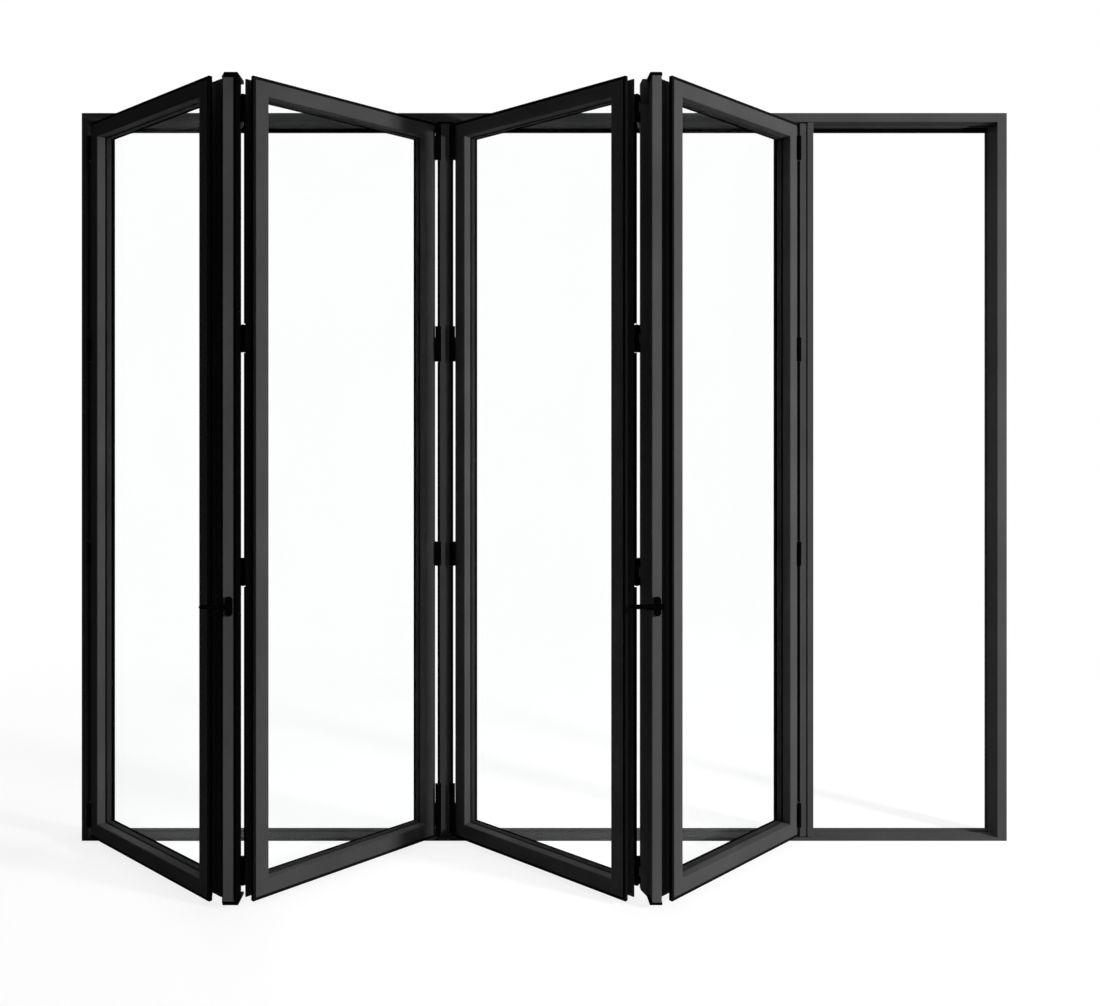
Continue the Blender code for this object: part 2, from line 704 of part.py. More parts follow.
def end_post_mesh():
    """The hinge post at the leading end, with its left face at x = 0."""
    step = END_POST_WIDTH - END_POST_STEP_WIDTH
    outline = [
        (0.0, 0.0),
        (step, 0.0),
        (step, END_POST_STEP_DEPTH),
        (END_POST_WIDTH, END_POST_STEP_DEPTH),
        (END_POST_WIDTH, LEAF_DEPTH),
        (0.0, LEAF_DEPTH),
    ]
    outline += post_groove(0.0, -1)[::-1]
    post = combine(prism(outline, LEAF_BOTTOM, LEAF_TOP), end_plates(0.0, NOTCH_DEPTH, -1))
    return with_hinges(post, front_hinge_half(True), -HALF_GAP, -FRONT_AXIS_PROUD)


def closing_strip_mesh():
    """The strip that closes on the right jamb, with a groove for the lock plates."""
    low = END_POST_WIDTH + SEAT
    high = low + CLOSING_STRIP_WIDTH
    floor = high - CLOSING_STRIP_GROOVE
    groove_low = LIP_FRONT - CLOSING_STRIP_GROOVE_WIDTH
    outline = corner_arc((low, 0.0), SIGHT_CHAMFER, 180) + corner_arc((high, 0.0), SIGHT_CHAMFER, 270)
    outline += [(high, groove_low), (floor, groove_low), (floor, LIP_FRONT), (high, LIP_FRONT)]
    outline += [(high, LEAF_DEPTH), (low, LEAF_DEPTH)]
    margin = LEAF_CLEARANCE / 2
    return prism(outline, SILL_HEIGHT + margin, HEAD_BOTTOM - margin)


def build_posts(paint):
    middle_1 = AXIS_1_LEFT + NEAR_POST_1_LEFT_ROOM + NEAR_POST_1_WIDTH / 2
    middle_2 = AXIS_2_LEFT + NEAR_POST_2_LEFT_ROOM + NEAR_POST_2_WIDTH / 2
    post_1 = near_post_mesh(
        NEAR_POST_1_WIDTH,
        (NEAR_POST_1_LEFT_ROOM, NEAR_POST_1_RIGHT_ROOM),
        (NEAR_POST_1_LEFT_NOTCH, NEAR_POST_1_RIGHT_NOTCH),
        NEAR_POST_1_FLANGE,
    )
    post_2 = near_post_mesh(
        NEAR_POST_2_WIDTH,
        (NEAR_POST_2_LEFT_ROOM, NEAR_POST_2_RIGHT_ROOM),
        (NEAR_POST_2_NOTCH, NEAR_POST_2_NOTCH),
        NEAR_POST_2_FLANGE,
    )
    add_part("near_post_1", post_1, paint, (middle_1, NEAR_POST_Y, 0))
    add_part("near_post_2", post_2, paint, (middle_2, NEAR_POST_Y, 0))
    add_part("far_post", far_post_mesh(), paint, (AXIS_B + FAR_PITCH / 2, POST_FRONT_Y, 0))
    end_x = AXIS_D + HALF_GAP
    add_part("end_post", end_post_mesh(), paint, (end_x, POST_FRONT_Y, 0))
    add_part("closing_strip", closing_strip_mesh(), paint, (end_x, POST_FRONT_Y, 0))
    return middle_1, middle_2


# Handles.  Built about the spindle axis, with the post face at y = 0.
def stadium(width, height, sides=8):
    """Outline of a plate with half-round ends."""
    radius = width / 2
    rise = height / 2 - radius
    top = [
        (radius * math.cos(math.pi * i / sides), rise + radius * math.sin(math.pi * i / sides))
        for i in range(sides + 1)
    ]
    return top + [(-x, -z) for x, z in top]


def escutcheon_mesh():
    plate = prism(stadium(ESCUTCHEON_WIDTH, ESCUTCHEON_HEIGHT), -ESCUTCHEON_THICKNESS, -SEAT, axis="Y")
    bore = prism(round_outline(NECK_RADIUS + BORE_PLAY, ROUND_SIDES), -2 * ESCUTCHEON_THICKNESS, BITE, axis="Y")
    return combine(plate, [bore], "DIFFERENCE")


def lever_mesh():
    """A tapering bar on a round neck; the bar points to -x and its tail to +x."""
    root = LEVER_HEIGHT / 2
    tip = LEVER_TIP_HEIGHT / 2
    outline = [
        (LEVER_TAIL - root / 2, -root * 0.8),
        (LEVER_TAIL, -root * 0.4),
        (LEVER_TAIL, root * 0.4),
        (LEVER_TAIL - root / 2, root * 0.8),
        (0.0, root),
        (-LEVER_REACH + tip, tip),
        (-LEVER_REACH + tip * 0.3, tip * 0.7),
        (-LEVER_REACH, 0.0),
        (-LEVER_REACH + tip * 0.3, -tip * 0.7),
        (-LEVER_REACH + tip, -tip),
        (0.0, -root),
    ]
    bar = prism(outline, -LEVER_STANDOFF, -LEVER_STANDOFF + LEVER_THICKNESS, axis="Y")
    neck_piece = prism(
        round_outline(NECK_RADIUS, ROUND_SIDES), -LEVER_STANDOFF + BITE, -2 * SEAT, axis="Y"
    )
    return combine(bar, [neck_piece])


def build_handles(paint, middles):
    for number, middle in enumerate(middles, start=1):
        place = (middle, NEAR_POST_Y, HANDLE_HEIGHT)
        add_part(f"escutcheon_{number}", escutcheon_mesh(), paint, place)
        add_part(f"lever_{number}", lever_mesh(), paint, place)


# Running gear.  Built with the track line at y = 0.
def carriage_mesh(post_top):
    floor = HEAD_BOTTOM + TRACK_FLOOR + SEAT
    axle = floor + WHEEL_RADIUS
    body = box(
        -TROLLEY_LENGTH / 2, TROLLEY_LENGTH / 2, -TROLLEY_WIDTH / 2, TROLLEY_WIDTH / 2,
        axle - TROLLEY_HEIGHT / 2, axle + TROLLEY_HEIGHT / 2,
    )
    hanger = prism(round_outline(HANGER_RADIUS, ROUND_SIDES), post_top + SEAT, axle)
    wheels = []
    for x in (-WHEEL_SPACING / 2, WHEEL_SPACING / 2):
        for side in (-1, 1):
            inner = side * (TROLLEY_WIDTH / 2 - BITE)
            outer = side * (TROLLEY_WIDTH / 2 + WHEEL_WIDTH)
            disc = round_outline(WHEEL_RADIUS / math.cos(math.pi / ROUND_SIDES), ROUND_SIDES, (x, axle))
            wheels.append(prism(disc, min(inner, outer), max(inner, outer), axis="Y"))
    return combine(body, [hanger] + wheels)


def shoe_mesh(post_bottom):
    half = GUIDE_SLOT / 2 - SEAT
    block = box(
        -SHOE_LENGTH / 2, SHOE_LENGTH / 2, -half, half, GUIDE_FLOOR + SEAT, SILL_HEIGHT - SEAT
    )
    pin = prism(round_outline(HANGER_RADIUS, ROUND_SIDES), GUIDE_FLOOR + BITE, post_bottom - SEAT)
    return combine(block, [pin])


def build_running_gear(steel, nylon):
    places = (("far_post", AXIS_B + FAR_PITCH / 2), ("end_post", AXIS_D + HALF_GAP + END_POST_WIDTH / 2))
    for name, x in places:
        add_part(name + "_carriage", carriage_mesh(LEAF_TOP), steel, (x, TRACK_Y, 0))
        add_part(name + "_guide_shoe", shoe_mesh(LEAF_BOTTOM), nylon, (x, TRACK_Y, 0))


def main():
    clear_scene()
    paint = make_material("black_powder_coat", (0.012, 0.012, 0.013), 0.42, 0.0)
    glass_material = make_material("clear_glass", (0.95, 0.97, 0.96), 0.02, 0.0, transmission=1.0)
    rubber = make_material("black_rubber", (0.004, 0.004, 0.004), 0.75, 0.0)
    steel = make_material("bright_steel", (0.42, 0.42, 0.43), 0.35, 1.0)
    nylon = make_material("black_nylon", (0.01, 0.01, 0.01), 0.5, 0.0)
    build_frame(paint)
    build_leaves(paint, glass_material, rubber)
    middles = build_posts(paint)
    build_handles(paint, middles)
    build_running_gear(steel, nylon)


main()
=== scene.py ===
# %% [markdown]
# # Dressing a bifold glass patio door
#
# The door is four glazed leaves in a slim black frame, folded part of the way towards us.
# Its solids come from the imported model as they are.  This script gives them their finishes,
# adds the thin pieces that are too fine for the solids, and sets up the light and the camera.
# Everything is in metres: X runs along the sill, Y from the outside to the room, Z is up.

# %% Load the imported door
import json
import math

import bmesh
import bpy
from mathutils import Matrix, Vector


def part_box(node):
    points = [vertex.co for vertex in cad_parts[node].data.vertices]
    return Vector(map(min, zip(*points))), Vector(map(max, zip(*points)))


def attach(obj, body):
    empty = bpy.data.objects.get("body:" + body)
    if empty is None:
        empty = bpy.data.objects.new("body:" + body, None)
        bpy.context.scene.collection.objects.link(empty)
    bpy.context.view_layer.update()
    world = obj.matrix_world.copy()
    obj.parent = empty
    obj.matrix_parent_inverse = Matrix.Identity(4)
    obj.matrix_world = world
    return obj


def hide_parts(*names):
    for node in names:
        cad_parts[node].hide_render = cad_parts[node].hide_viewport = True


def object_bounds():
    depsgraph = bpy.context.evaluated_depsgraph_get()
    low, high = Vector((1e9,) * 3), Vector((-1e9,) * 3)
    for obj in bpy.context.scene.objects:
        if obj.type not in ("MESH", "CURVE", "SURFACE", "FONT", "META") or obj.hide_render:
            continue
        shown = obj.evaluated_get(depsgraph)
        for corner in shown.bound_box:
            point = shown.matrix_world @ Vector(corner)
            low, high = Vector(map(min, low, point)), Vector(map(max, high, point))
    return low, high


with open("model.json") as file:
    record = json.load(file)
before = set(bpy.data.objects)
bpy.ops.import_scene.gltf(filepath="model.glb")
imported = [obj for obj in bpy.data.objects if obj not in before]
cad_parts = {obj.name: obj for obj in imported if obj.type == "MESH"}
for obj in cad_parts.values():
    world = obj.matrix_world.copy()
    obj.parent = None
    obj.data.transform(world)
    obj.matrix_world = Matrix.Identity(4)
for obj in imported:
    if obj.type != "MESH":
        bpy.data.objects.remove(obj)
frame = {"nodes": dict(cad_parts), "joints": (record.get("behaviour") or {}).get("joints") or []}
nodes = frame["nodes"]
cad_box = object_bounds()
print("solids:", len(nodes), "box:", cad_box)

# %% [markdown]
# ## The camera
#
# The picture is taken straight at the frame, with the camera a little left of the middle and at
# about head height.  A straight-on view keeps every upright upright, so the camera is not tilted
# or turned.  The frame is moved within the picture by lens shift instead, as an architectural
# photographer does.  Four values fix the view: how far the camera stands from the frame, where it
# stands, how long its lens is, and how far the lens is shifted.

# %% Place the camera
IMAGE_WIDTH = 1100
IMAGE_HEIGHT = 1006
SENSOR_WIDTH = 36.0
FOCAL_PIXELS = 1050.0
LOOK_PIXEL_X = 482.7
LOOK_PIXEL_Y = 426.0
STAND_BACK = 3.462
STAND_X = -0.203
EYE_HEIGHT = 1.368

sill_low, sill_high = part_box("sill")
frame_front = sill_low[1]
lens = bpy.data.cameras.new("camera")
camera = bpy.data.objects.new("camera", lens)
bpy.context.scene.collection.objects.link(camera)
camera.location = (STAND_X, frame_front - STAND_BACK, EYE_HEIGHT)
camera.rotation_euler = (math.radians(90), 0, 0)
lens.sensor_fit = "HORIZONTAL"
lens.sensor_width = SENSOR_WIDTH
lens.lens = FOCAL_PIXELS / IMAGE_WIDTH * SENSOR_WIDTH
lens.shift_x = (IMAGE_WIDTH / 2 - LOOK_PIXEL_X) / IMAGE_WIDTH
lens.shift_y = (LOOK_PIXEL_Y - IMAGE_HEIGHT / 2) / IMAGE_WIDTH
lens.dof.use_dof = False
bpy.context.scene.camera = camera
bpy.context.scene.view_settings.view_transform = "Standard"
print("lens %.1f mm, shift %.3f %.3f" % (lens.lens, lens.shift_x, lens.shift_y))

# %% [markdown]
# ## Small helpers for materials
#
# Every finish is a little tree of nodes.  Two helpers keep the trees short to write: one starts an
# empty material, the other adds a node and sets the values that do not change over the surface.


# %% Material helpers
def new_material(name):
    material = bpy.data.materials.new(name)
    material.use_nodes = True
    material.node_tree.nodes.clear()
    return material


def add_node(tree, kind, **values):
    node = tree.nodes.new(kind)
    for key, value in values.items():
        socket = key.replace("_", " ")
        if socket in node.inputs:
            node.inputs[socket].default_value = value
        else:
            setattr(node, key, value)
    return node


def seen_by(tree):
    """One where a surface is looked at straight, in a mirror or through glass, else zero."""
    ray = add_node(tree, "ShaderNodeLightPath")
    straight_or_mirror = add_node(tree, "ShaderNodeMath", operation="MAXIMUM")
    any_of_three = add_node(tree, "ShaderNodeMath", operation="MAXIMUM")
    tree.links.new(ray.outputs["Is Camera Ray"], straight_or_mirror.inputs[0])
    tree.links.new(ray.outputs["Is Glossy Ray"], straight_or_mirror.inputs[1])
    tree.links.new(straight_or_mirror.outputs[0], any_of_three.inputs[0])
    tree.links.new(ray.outputs["Is Transmission Ray"], any_of_three.inputs[1])
    return any_of_three.outputs[0]


# %% [markdown]
# ## The studio
#
# A pale floor and a white surround.  The surround is white only to the rays that we see it with:
# those straight from the camera, those that mirror in a surface and those that pass through glass.
# For soft light it is much dimmer, because the door's left-hand faces are nearly black and need
# the dark.

# %% White surround
SURROUND_LIGHT = 0.04

world = bpy.data.worlds.new("studio")
bpy.context.scene.world = world
world.use_nodes = True
world.node_tree.nodes.clear()
level = add_node(world.node_tree, "ShaderNodeMapRange", To_Min=SURROUND_LIGHT, To_Max=1.0)
shine = add_node(world.node_tree, "ShaderNodeBackground", Color=(1, 1, 1, 1))
world_out = add_node(world.node_tree, "ShaderNodeOutputWorld")
world.node_tree.links.new(seen_by(world.node_tree), level.inputs["Value"])
world.node_tree.links.new(level.outputs["Result"], shine.inputs["Strength"])
world.node_tree.links.new(shine.outputs["Background"], world_out.inputs["Surface"])
print("surround: 1.0 to the eye,", SURROUND_LIGHT, "as light")

# %% [markdown]
# The floor glows a little to the camera and takes the rest of its white from the lamps, so the
# door still drops a soft shadow on it.  Its edge would draw a horizon across the picture.  So the
# glow grows to full white with the distance from the door, while the shaded part fades out.

# %% Pale floor
FLOOR_SIZE = 80.0
FLOOR_COLOUR = 0.28
FLOOR_GLOW = 0.84
FADE_START = 1.6
FADE_END = 4.5
FLOOR_GAP = 0.0005

floor_material = new_material("floor_pale")
tree = floor_material.node_tree
place = add_node(tree, "ShaderNodeTexCoord")
distance = add_node(tree, "ShaderNodeVectorMath", operation="LENGTH")
fade = add_node(tree, "ShaderNodeMapRange", From_Min=FADE_START, From_Max=FADE_END)
fade.interpolation_type = "SMOOTHSTEP"
near_glow = add_node(tree, "ShaderNodeMapRange", To_Min=FLOOR_GLOW, To_Max=1.0)
share = add_node(tree, "ShaderNodeMath", operation="MULTIPLY")
matt_colour = add_node(tree, "ShaderNodeMixRGB")
matt_colour.inputs[1].default_value = (FLOOR_COLOUR, FLOOR_COLOUR, FLOOR_COLOUR, 1)
matt_colour.inputs[2].default_value = (0, 0, 0, 1)
matt = add_node(tree, "ShaderNodeBsdfDiffuse")
glow = add_node(tree, "ShaderNodeEmission", Color=(1, 1, 1, 1))
both = add_node(tree, "ShaderNodeAddShader")
out = add_node(tree, "ShaderNodeOutputMaterial")
tree.links.new(place.outputs["Object"], distance.inputs[0])
tree.links.new(distance.outputs["Value"], fade.inputs["Value"])
tree.links.new(fade.outputs["Result"], near_glow.inputs["Value"])
tree.links.new(fade.outputs["Result"], matt_colour.inputs[0])
tree.links.new(near_glow.outputs["Result"], share.inputs[0])
tree.links.new(seen_by(tree), share.inputs[1])
tree.links.new(share.outputs[0], glow.inputs["Strength"])
tree.links.new(matt_colour.outputs[0], matt.inputs["Color"])
tree.links.new(matt.outputs[0], both.inputs[0])
tree.links.new(glow.outputs[0], both.inputs[1])
tree.links.new(both.outputs[0], out.inputs["Surface"])

floor_mesh = bpy.data.meshes.new("floor")
reach = FLOOR_SIZE / 2
floor_corners = [(-reach, -reach, 0), (reach, -reach, 0), (reach, reach, 0), (-reach, reach, 0)]
floor_mesh.from_pydata(floor_corners, [], [(0, 1, 2, 3)])
floor = bpy.data.objects.new("floor", floor_mesh)
bpy.context.scene.collection.objects.link(floor)
floor_mesh.materials.append(floor_material)
floor.location.z = cad_box[0][2] - FLOOR_GAP
print("floor at %.4f m" % floor.location.z)

# %% [markdown]
# ## The lamps
#
# Every surface that faces right is light: the fronts of leaves B and D, and the inner sides of the
# far stiles of A and C.  What faces left is almost black, and the plain front faces get darker
# from right to left.  One lamp far out on the right, in front of the frame, does all this.  It is
# small, and low enough for the top rails of the leaves to shade the head behind them.  A weak one
# above fills the sill and the floor, and two more light the back for anyone who walks round it.


# %% Soft lamps
def soft_lamp(name, spot, aim, size, power):
    light = bpy.data.lights.new(name, "AREA")
    light.shape = "RECTANGLE"
    light.size = size[0]
    light.size_y = size[1]
    light.energy = power
    lamp = bpy.data.objects.new(name, light)
    bpy.context.scene.collection.objects.link(lamp)
    lamp.location = spot
    direction = Vector(aim) - Vector(spot)
    lamp.rotation_euler = direction.to_track_quat("-Z", "Y").to_euler()
    lamp.visible_camera = False
    lamp.visible_transmission = False
    lamp.visible_glossy = False
    return lamp


# Each lamp: where it hangs, the point that it faces, its width and height, its watts.
LAMPS = {
    "key": ((4.6, -2.8, 1.83), (-0.3, -0.3, 1.1), (0.5, 0.3), 270),
    "overhead": ((0.0, -0.4, 6.0), (0.0, -0.4, 0.0), (3.0, 3.0), 70),
    "back_left": ((-2.6, 4.4, 2.4), (0, 0, 1.0), (2.0, 2.0), 45),
    "back_right": ((2.8, 4.2, 1.8), (0, 0, 1.0), (2.0, 2.0), 45),
}
for name, (spot, aim, size, watts) in LAMPS.items():
    soft_lamp(name, spot, aim, size, watts)
print("lamps:", ", ".join(LAMPS))

# %% [markdown]
# ## Finishes
#
# ### Powder coat
#
# The frame, the leaves and the posts are extruded aluminium with a black powder coat.  Seen close,
# powder coat is not flat: it has a fine orange-peel grain, its sheen differs a little from place
# to place, and fingertips and rain leave it slightly uneven.  A low specular level keeps the white
# surround from turning the black into grey.  The near posts get a lighter copy of the same coat,
# which is painted light standing for the light on their fronts.  The levers, plates and hinges are
# almost pure black.


# %% Powder coat
SHEEN_SPREAD = 0.07
GRAIN_SCALE = 850.0


def powder_coat(name, shade, roughness, gloss):
    material = new_material(name)
    tree = material.node_tree
    links = tree.links
    where = add_node(tree, "ShaderNodeTexCoord")
    cloud = add_node(tree, "ShaderNodeTexNoise", Scale=5.0, Detail=5.0)
    tone = add_node(tree, "ShaderNodeValToRGB")
    tone.color_ramp.elements[0].position = 0.3
    tone.color_ramp.elements[1].position = 0.7
    tone.color_ramp.elements[0].color = (shade * 0.9, shade * 0.9, shade * 0.91, 1)
    tone.color_ramp.elements[1].color = (shade * 1.1, shade * 1.1, shade * 1.11, 1)
    grain = add_node(tree, "ShaderNodeTexNoise", Scale=GRAIN_SCALE, Detail=2.0)
    peel = add_node(tree, "ShaderNodeBump", Strength=0.15, Distance=0.0003)
    smooth, rough = roughness - SHEEN_SPREAD, roughness + SHEEN_SPREAD
    sheen = add_node(tree, "ShaderNodeMapRange", To_Min=smooth, To_Max=rough)
    shader = add_node(tree, "ShaderNodeBsdfPrincipled", Specular_IOR_Level=gloss)
    output = add_node(tree, "ShaderNodeOutputMaterial")
    links.new(where.outputs["Object"], cloud.inputs["Vector"])
    links.new(where.outputs["Object"], grain.inputs["Vector"])
    links.new(cloud.outputs["Fac"], tone.inputs["Fac"])
    links.new(tone.outputs["Color"], shader.inputs["Base Color"])
    links.new(cloud.outputs["Fac"], sheen.inputs["Value"])
    links.new(sheen.outputs["Result"], shader.inputs["Roughness"])
    links.new(grain.outputs["Fac"], peel.inputs["Height"])
    links.new(peel.outputs["Normal"], shader.inputs["Normal"])
    links.new(shader.outputs[0], output.inputs["Surface"])
    return material


coat = powder_coat("powder_coat", 0.078, 0.5, 0.003)
# Painted light: a lighter copy of the same black coat, standing for the light on the near posts'
# fronts.
painted_light_post_coat = powder_coat("painted_light_post_coat", 0.125, 0.5, 0.003)
lever_coat = powder_coat("lever_coat", 0.0018, 0.45, 0.006)
print("coats:", coat.name, painted_light_post_coat.name, lever_coat.name)

# %% [markdown]
# ### Rubber, nylon and steel
#
# The seals are black rubber, matt and a little streaky along their length where they were pulled
# through the die.  The guide shoes are moulded nylon, smoother and slightly shiny.  The carriages
# in the head are zinc-plated steel, where fine scratches run in one direction.  The spacer bars in
# the glass and the gaskets in front of it are a dull dark grey.


# %% Rubber, nylon and steel
def rubber_finish(name, shade):
    material = new_material(name)
    tree = material.node_tree
    links = tree.links
    where = add_node(tree, "ShaderNodeTexCoord")
    stretch = add_node(tree, "ShaderNodeMapping", Scale=(400.0, 400.0, 3.0))
    streak = add_node(tree, "ShaderNodeTexNoise", Scale=1.0, Detail=3.0)
    tone = add_node(tree, "ShaderNodeValToRGB")
    tone.color_ramp.elements[0].color = (shade * 0.7, shade * 0.7, shade * 0.7, 1)
    tone.color_ramp.elements[1].color = (shade * 1.3, shade * 1.3, shade * 1.3, 1)
    bump = add_node(tree, "ShaderNodeBump", Strength=0.2, Distance=0.0002)
    dull = add_node(tree, "ShaderNodeMapRange", To_Min=0.75, To_Max=0.95)
    shader = add_node(tree, "ShaderNodeBsdfPrincipled", Specular_IOR_Level=0.006)
    output = add_node(tree, "ShaderNodeOutputMaterial")
    links.new(where.outputs["Object"], stretch.inputs["Vector"])
    links.new(stretch.outputs["Vector"], streak.inputs["Vector"])
    links.new(streak.outputs["Fac"], tone.inputs["Fac"])
    links.new(tone.outputs["Color"], shader.inputs["Base Color"])
    links.new(streak.outputs["Fac"], bump.inputs["Height"])
    links.new(streak.outputs["Fac"], dull.inputs["Value"])
    links.new(dull.outputs["Result"], shader.inputs["Roughness"])
    links.new(bump.outputs["Normal"], shader.inputs["Normal"])
    links.new(shader.outputs[0], output.inputs["Surface"])
    return material


def steel_finish(name):
    material = new_material(name)
    tree = material.node_tree
    links = tree.links
    where = add_node(tree, "ShaderNodeTexCoord")
    stretch = add_node(tree, "ShaderNodeMapping", Scale=(15.0, 700.0, 700.0))
    scratch = add_node(tree, "ShaderNodeTexNoise", Scale=1.0, Detail=4.0)
    tone = add_node(tree, "ShaderNodeValToRGB")
    tone.color_ramp.elements[0].color = (0.38, 0.38, 0.40, 1)
    tone.color_ramp.elements[1].color = (0.50, 0.50, 0.51, 1)
    rough = add_node(tree, "ShaderNodeMapRange", To_Min=0.28, To_Max=0.45)
    bump = add_node(tree, "ShaderNodeBump", Strength=0.1, Distance=0.0001)
    shader = add_node(tree, "ShaderNodeBsdfPrincipled", Metallic=1.0)
    output = add_node(tree, "ShaderNodeOutputMaterial")
    links.new(where.outputs["Object"], stretch.inputs["Vector"])
    links.new(stretch.outputs["Vector"], scratch.inputs["Vector"])
    links.new(scratch.outputs["Fac"], tone.inputs["Fac"])
    links.new(tone.outputs["Color"], shader.inputs["Base Color"])
    links.new(scratch.outputs["Fac"], rough.inputs["Value"])
    links.new(rough.outputs["Result"], shader.inputs["Roughness"])
    links.new(scratch.outputs["Fac"], bump.inputs["Height"])
    links.new(bump.outputs["Normal"], shader.inputs["Normal"])
    links.new(shader.outputs[0], output.inputs["Surface"])
    return material


seal_rubber = rubber_finish("seal_rubber", 0.008)
# The blacker rubber is real on the glass gaskets and beads; on the strips of the posts, the jamb, the
# end post and the head it is also painted shade.
black_rubber_and_shade = rubber_finish("black_rubber_and_shade", 0.002)
steel = steel_finish("zinc_steel")
nylon = powder_coat("black_nylon", 0.02, 0.5, 0.2)
trim_grey = powder_coat("trim_grey", 0.022, 0.6, 0.01)
print("small parts:", ", ".join(m.name for m in (seal_rubber, black_rubber_and_shade, steel, nylon, trim_grey)))

# %% [markdown]
# ### Glass
#
# Clear float glass has no colour to speak of when we look through it.  What makes it read as glass
# is its reflection, which is weak straight on and strong at a glancing angle.  The physical glass
# of the Principled shader does both from its index of refraction, held low here as on coated
# glass, because the panes in the picture show no reflection.  A faint uneven roughness stands for
# the film of dust that any outdoor pane has.  A pane would also stop the lamps' light in a render,
# so for rays on their way to a lamp it is simply transparent.

# %% Clear glass
clear = new_material("clear_glass")
tree = clear.node_tree
where = add_node(tree, "ShaderNodeTexCoord")
film = add_node(tree, "ShaderNodeTexNoise", Scale=3.0, Detail=6.0)
haze = add_node(tree, "ShaderNodeMapRange", To_Min=0.0, To_Max=0.012)
tint = add_node(tree, "ShaderNodeValToRGB")
tint.color_ramp.elements[0].color = (0.985, 0.995, 0.990, 1)
tint.color_ramp.elements[1].color = (0.995, 1.0, 0.998, 1)
pane_shader = add_node(tree, "ShaderNodeBsdfPrincipled", Transmission_Weight=1.0, IOR=1.04)
lamp_ray = add_node(tree, "ShaderNodeLightPath")
let_through = add_node(tree, "ShaderNodeBsdfTransparent")
pane_mix = add_node(tree, "ShaderNodeMixShader")
pane_out = add_node(tree, "ShaderNodeOutputMaterial")
tree.links.new(where.outputs["Object"], film.inputs["Vector"])
tree.links.new(film.outputs["Fac"], haze.inputs["Value"])
tree.links.new(film.outputs["Fac"], tint.inputs["Fac"])
tree.links.new(tint.outputs["Color"], pane_shader.inputs["Base Color"])
tree.links.new(haze.outputs["Result"], pane_shader.inputs["Roughness"])
tree.links.new(lamp_ray.outputs["Is Shadow Ray"], pane_mix.inputs[0])
tree.links.new(pane_shader.outputs[0], pane_mix.inputs[1])
tree.links.new(let_through.outputs[0], pane_mix.inputs[2])
tree.links.new(pane_mix.outputs[0], pane_out.inputs["Surface"])
print("glass:", clear.name)

# %% [markdown]
# ### Who gets which finish
#
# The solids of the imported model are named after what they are, so the name alone tells the finish.
# Anything that is not glass, rubber, steel or nylon is coated aluminium.

# %% Give every solid its finish
for name, solid in nodes.items():
    finish = coat
    if name.endswith("glass"):
        finish = clear
    elif name.endswith("seal"):
        finish = seal_rubber
    elif name.endswith("bead"):
        finish = black_rubber_and_shade
    elif name.endswith("carriage"):
        finish = steel
    elif name.endswith("shoe"):
        finish = nylon
    elif name.startswith(("lever", "escutcheon")):
        finish = lever_coat
    elif name.startswith("near_post"):
        finish = painted_light_post_coat
    solid.data.materials.clear()
    solid.data.materials.append(finish)
print("finishes given to", len(nodes), "solids")

# %% [markdown]
# ## Making pieces
#
# Every added piece is a mesh that rides on a body of the door and is given its finish.  Most pieces
# here are one of two kinds: a bar with a drawn section, or a mitred ring that runs round a leaf.
# Two helpers make those.


# %% Piece helpers
EDGE_ANGLE = math.radians(30)
SHARP_ANGLE = math.radians(40)


def finish_mesh(bm, name, bevel=0.0):
    """Turn a bmesh into a mesh, with its edges rounded if asked."""
    bmesh.ops.recalc_face_normals(bm, faces=bm.faces)
    if bevel > 0:
        edges = [e for e in bm.edges if e.calc_face_angle(0) > EDGE_ANGLE]
        bmesh.ops.bevel(bm, geom=edges, offset=bevel, segments=2, profile=0.5, affect="EDGES")
        bmesh.ops.recalc_face_normals(bm, faces=bm.faces)
    mesh = bpy.data.meshes.new(name)
    bm.to_mesh(mesh)
    bm.free()
    return mesh


def add_piece(name, mesh, finish, body="door", smooth=True):
    mesh.name = name
    if smooth:
        mesh.shade_smooth()
        mesh.set_sharp_from_angle(angle=SHARP_ANGLE)
    piece = bpy.data.objects.new(name, mesh)
    bpy.context.scene.collection.objects.link(piece)
    mesh.materials.clear()
    mesh.materials.append(finish)
    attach(piece, body)
    return piece


def add_bar(bm, outline, low, high, turn=None):
    """Extrude a closed outline of (x, y) points from one height to another."""
    foot = [bm.verts.new((x, y, low)) for x, y in outline]
    top = [bm.verts.new((x, y, high)) for x, y in outline]
    count = len(outline)
    bm.faces.new(foot[::-1])
    bm.faces.new(top)
    for i in range(count):
        k = (i + 1) % count
        bm.faces.new([foot[i], foot[k], top[k], top[i]])
    if turn is not None:
        bmesh.ops.transform(bm, matrix=turn, verts=foot + top)


def add_ring(bm, section, half_width, low, high, turn):
    """A mitred ring; each point of the section is (inset from the edge, depth)."""
    loops = []
    for inset, depth in section:
        corners = [
            (-half_width + inset, low + inset),
            (half_width - inset, low + inset),
            (half_width - inset, high - inset),
            (-half_width + inset, high - inset),
        ]
        loops.append([bm.verts.new(turn @ Vector((x, depth, z))) for x, z in corners])
    count = len(loops)
    for i in range(count):
        here = loops[i]
        after = loops[(i + 1) % count]
        for j in range(4):
            k = (j + 1) % 4
            bm.faces.new([here[j], here[k], after[k], after[j]])


# %% [markdown]
# ## Sealed glass units
#
# Each leaf holds two panes of glass, 4 mm thick, with a spacer bar round the edge that keeps them
# 16 mm apart.  The solid model has one thick slab in that place, which would bend the view like a
# block of glass.  So the slab is replaced: two thin panes, the dark spacer bar between them, and
# the thin gaskets that hold the unit.  The front gasket and the spacer are dark grey, so the inner
# side of the sash reads as one deep face.  The back gasket and the bead behind it are black and
# draw the line where that face ends.
#
# The leaves stand at an angle, so it is easiest to draw on an upright leaf and turn the result.
# The turn is read off the slab itself: its short edge gives the way that the leaf faces.

# %% How each leaf stands
LEAVES = "abcd"
SAME_HEIGHT = 0.001


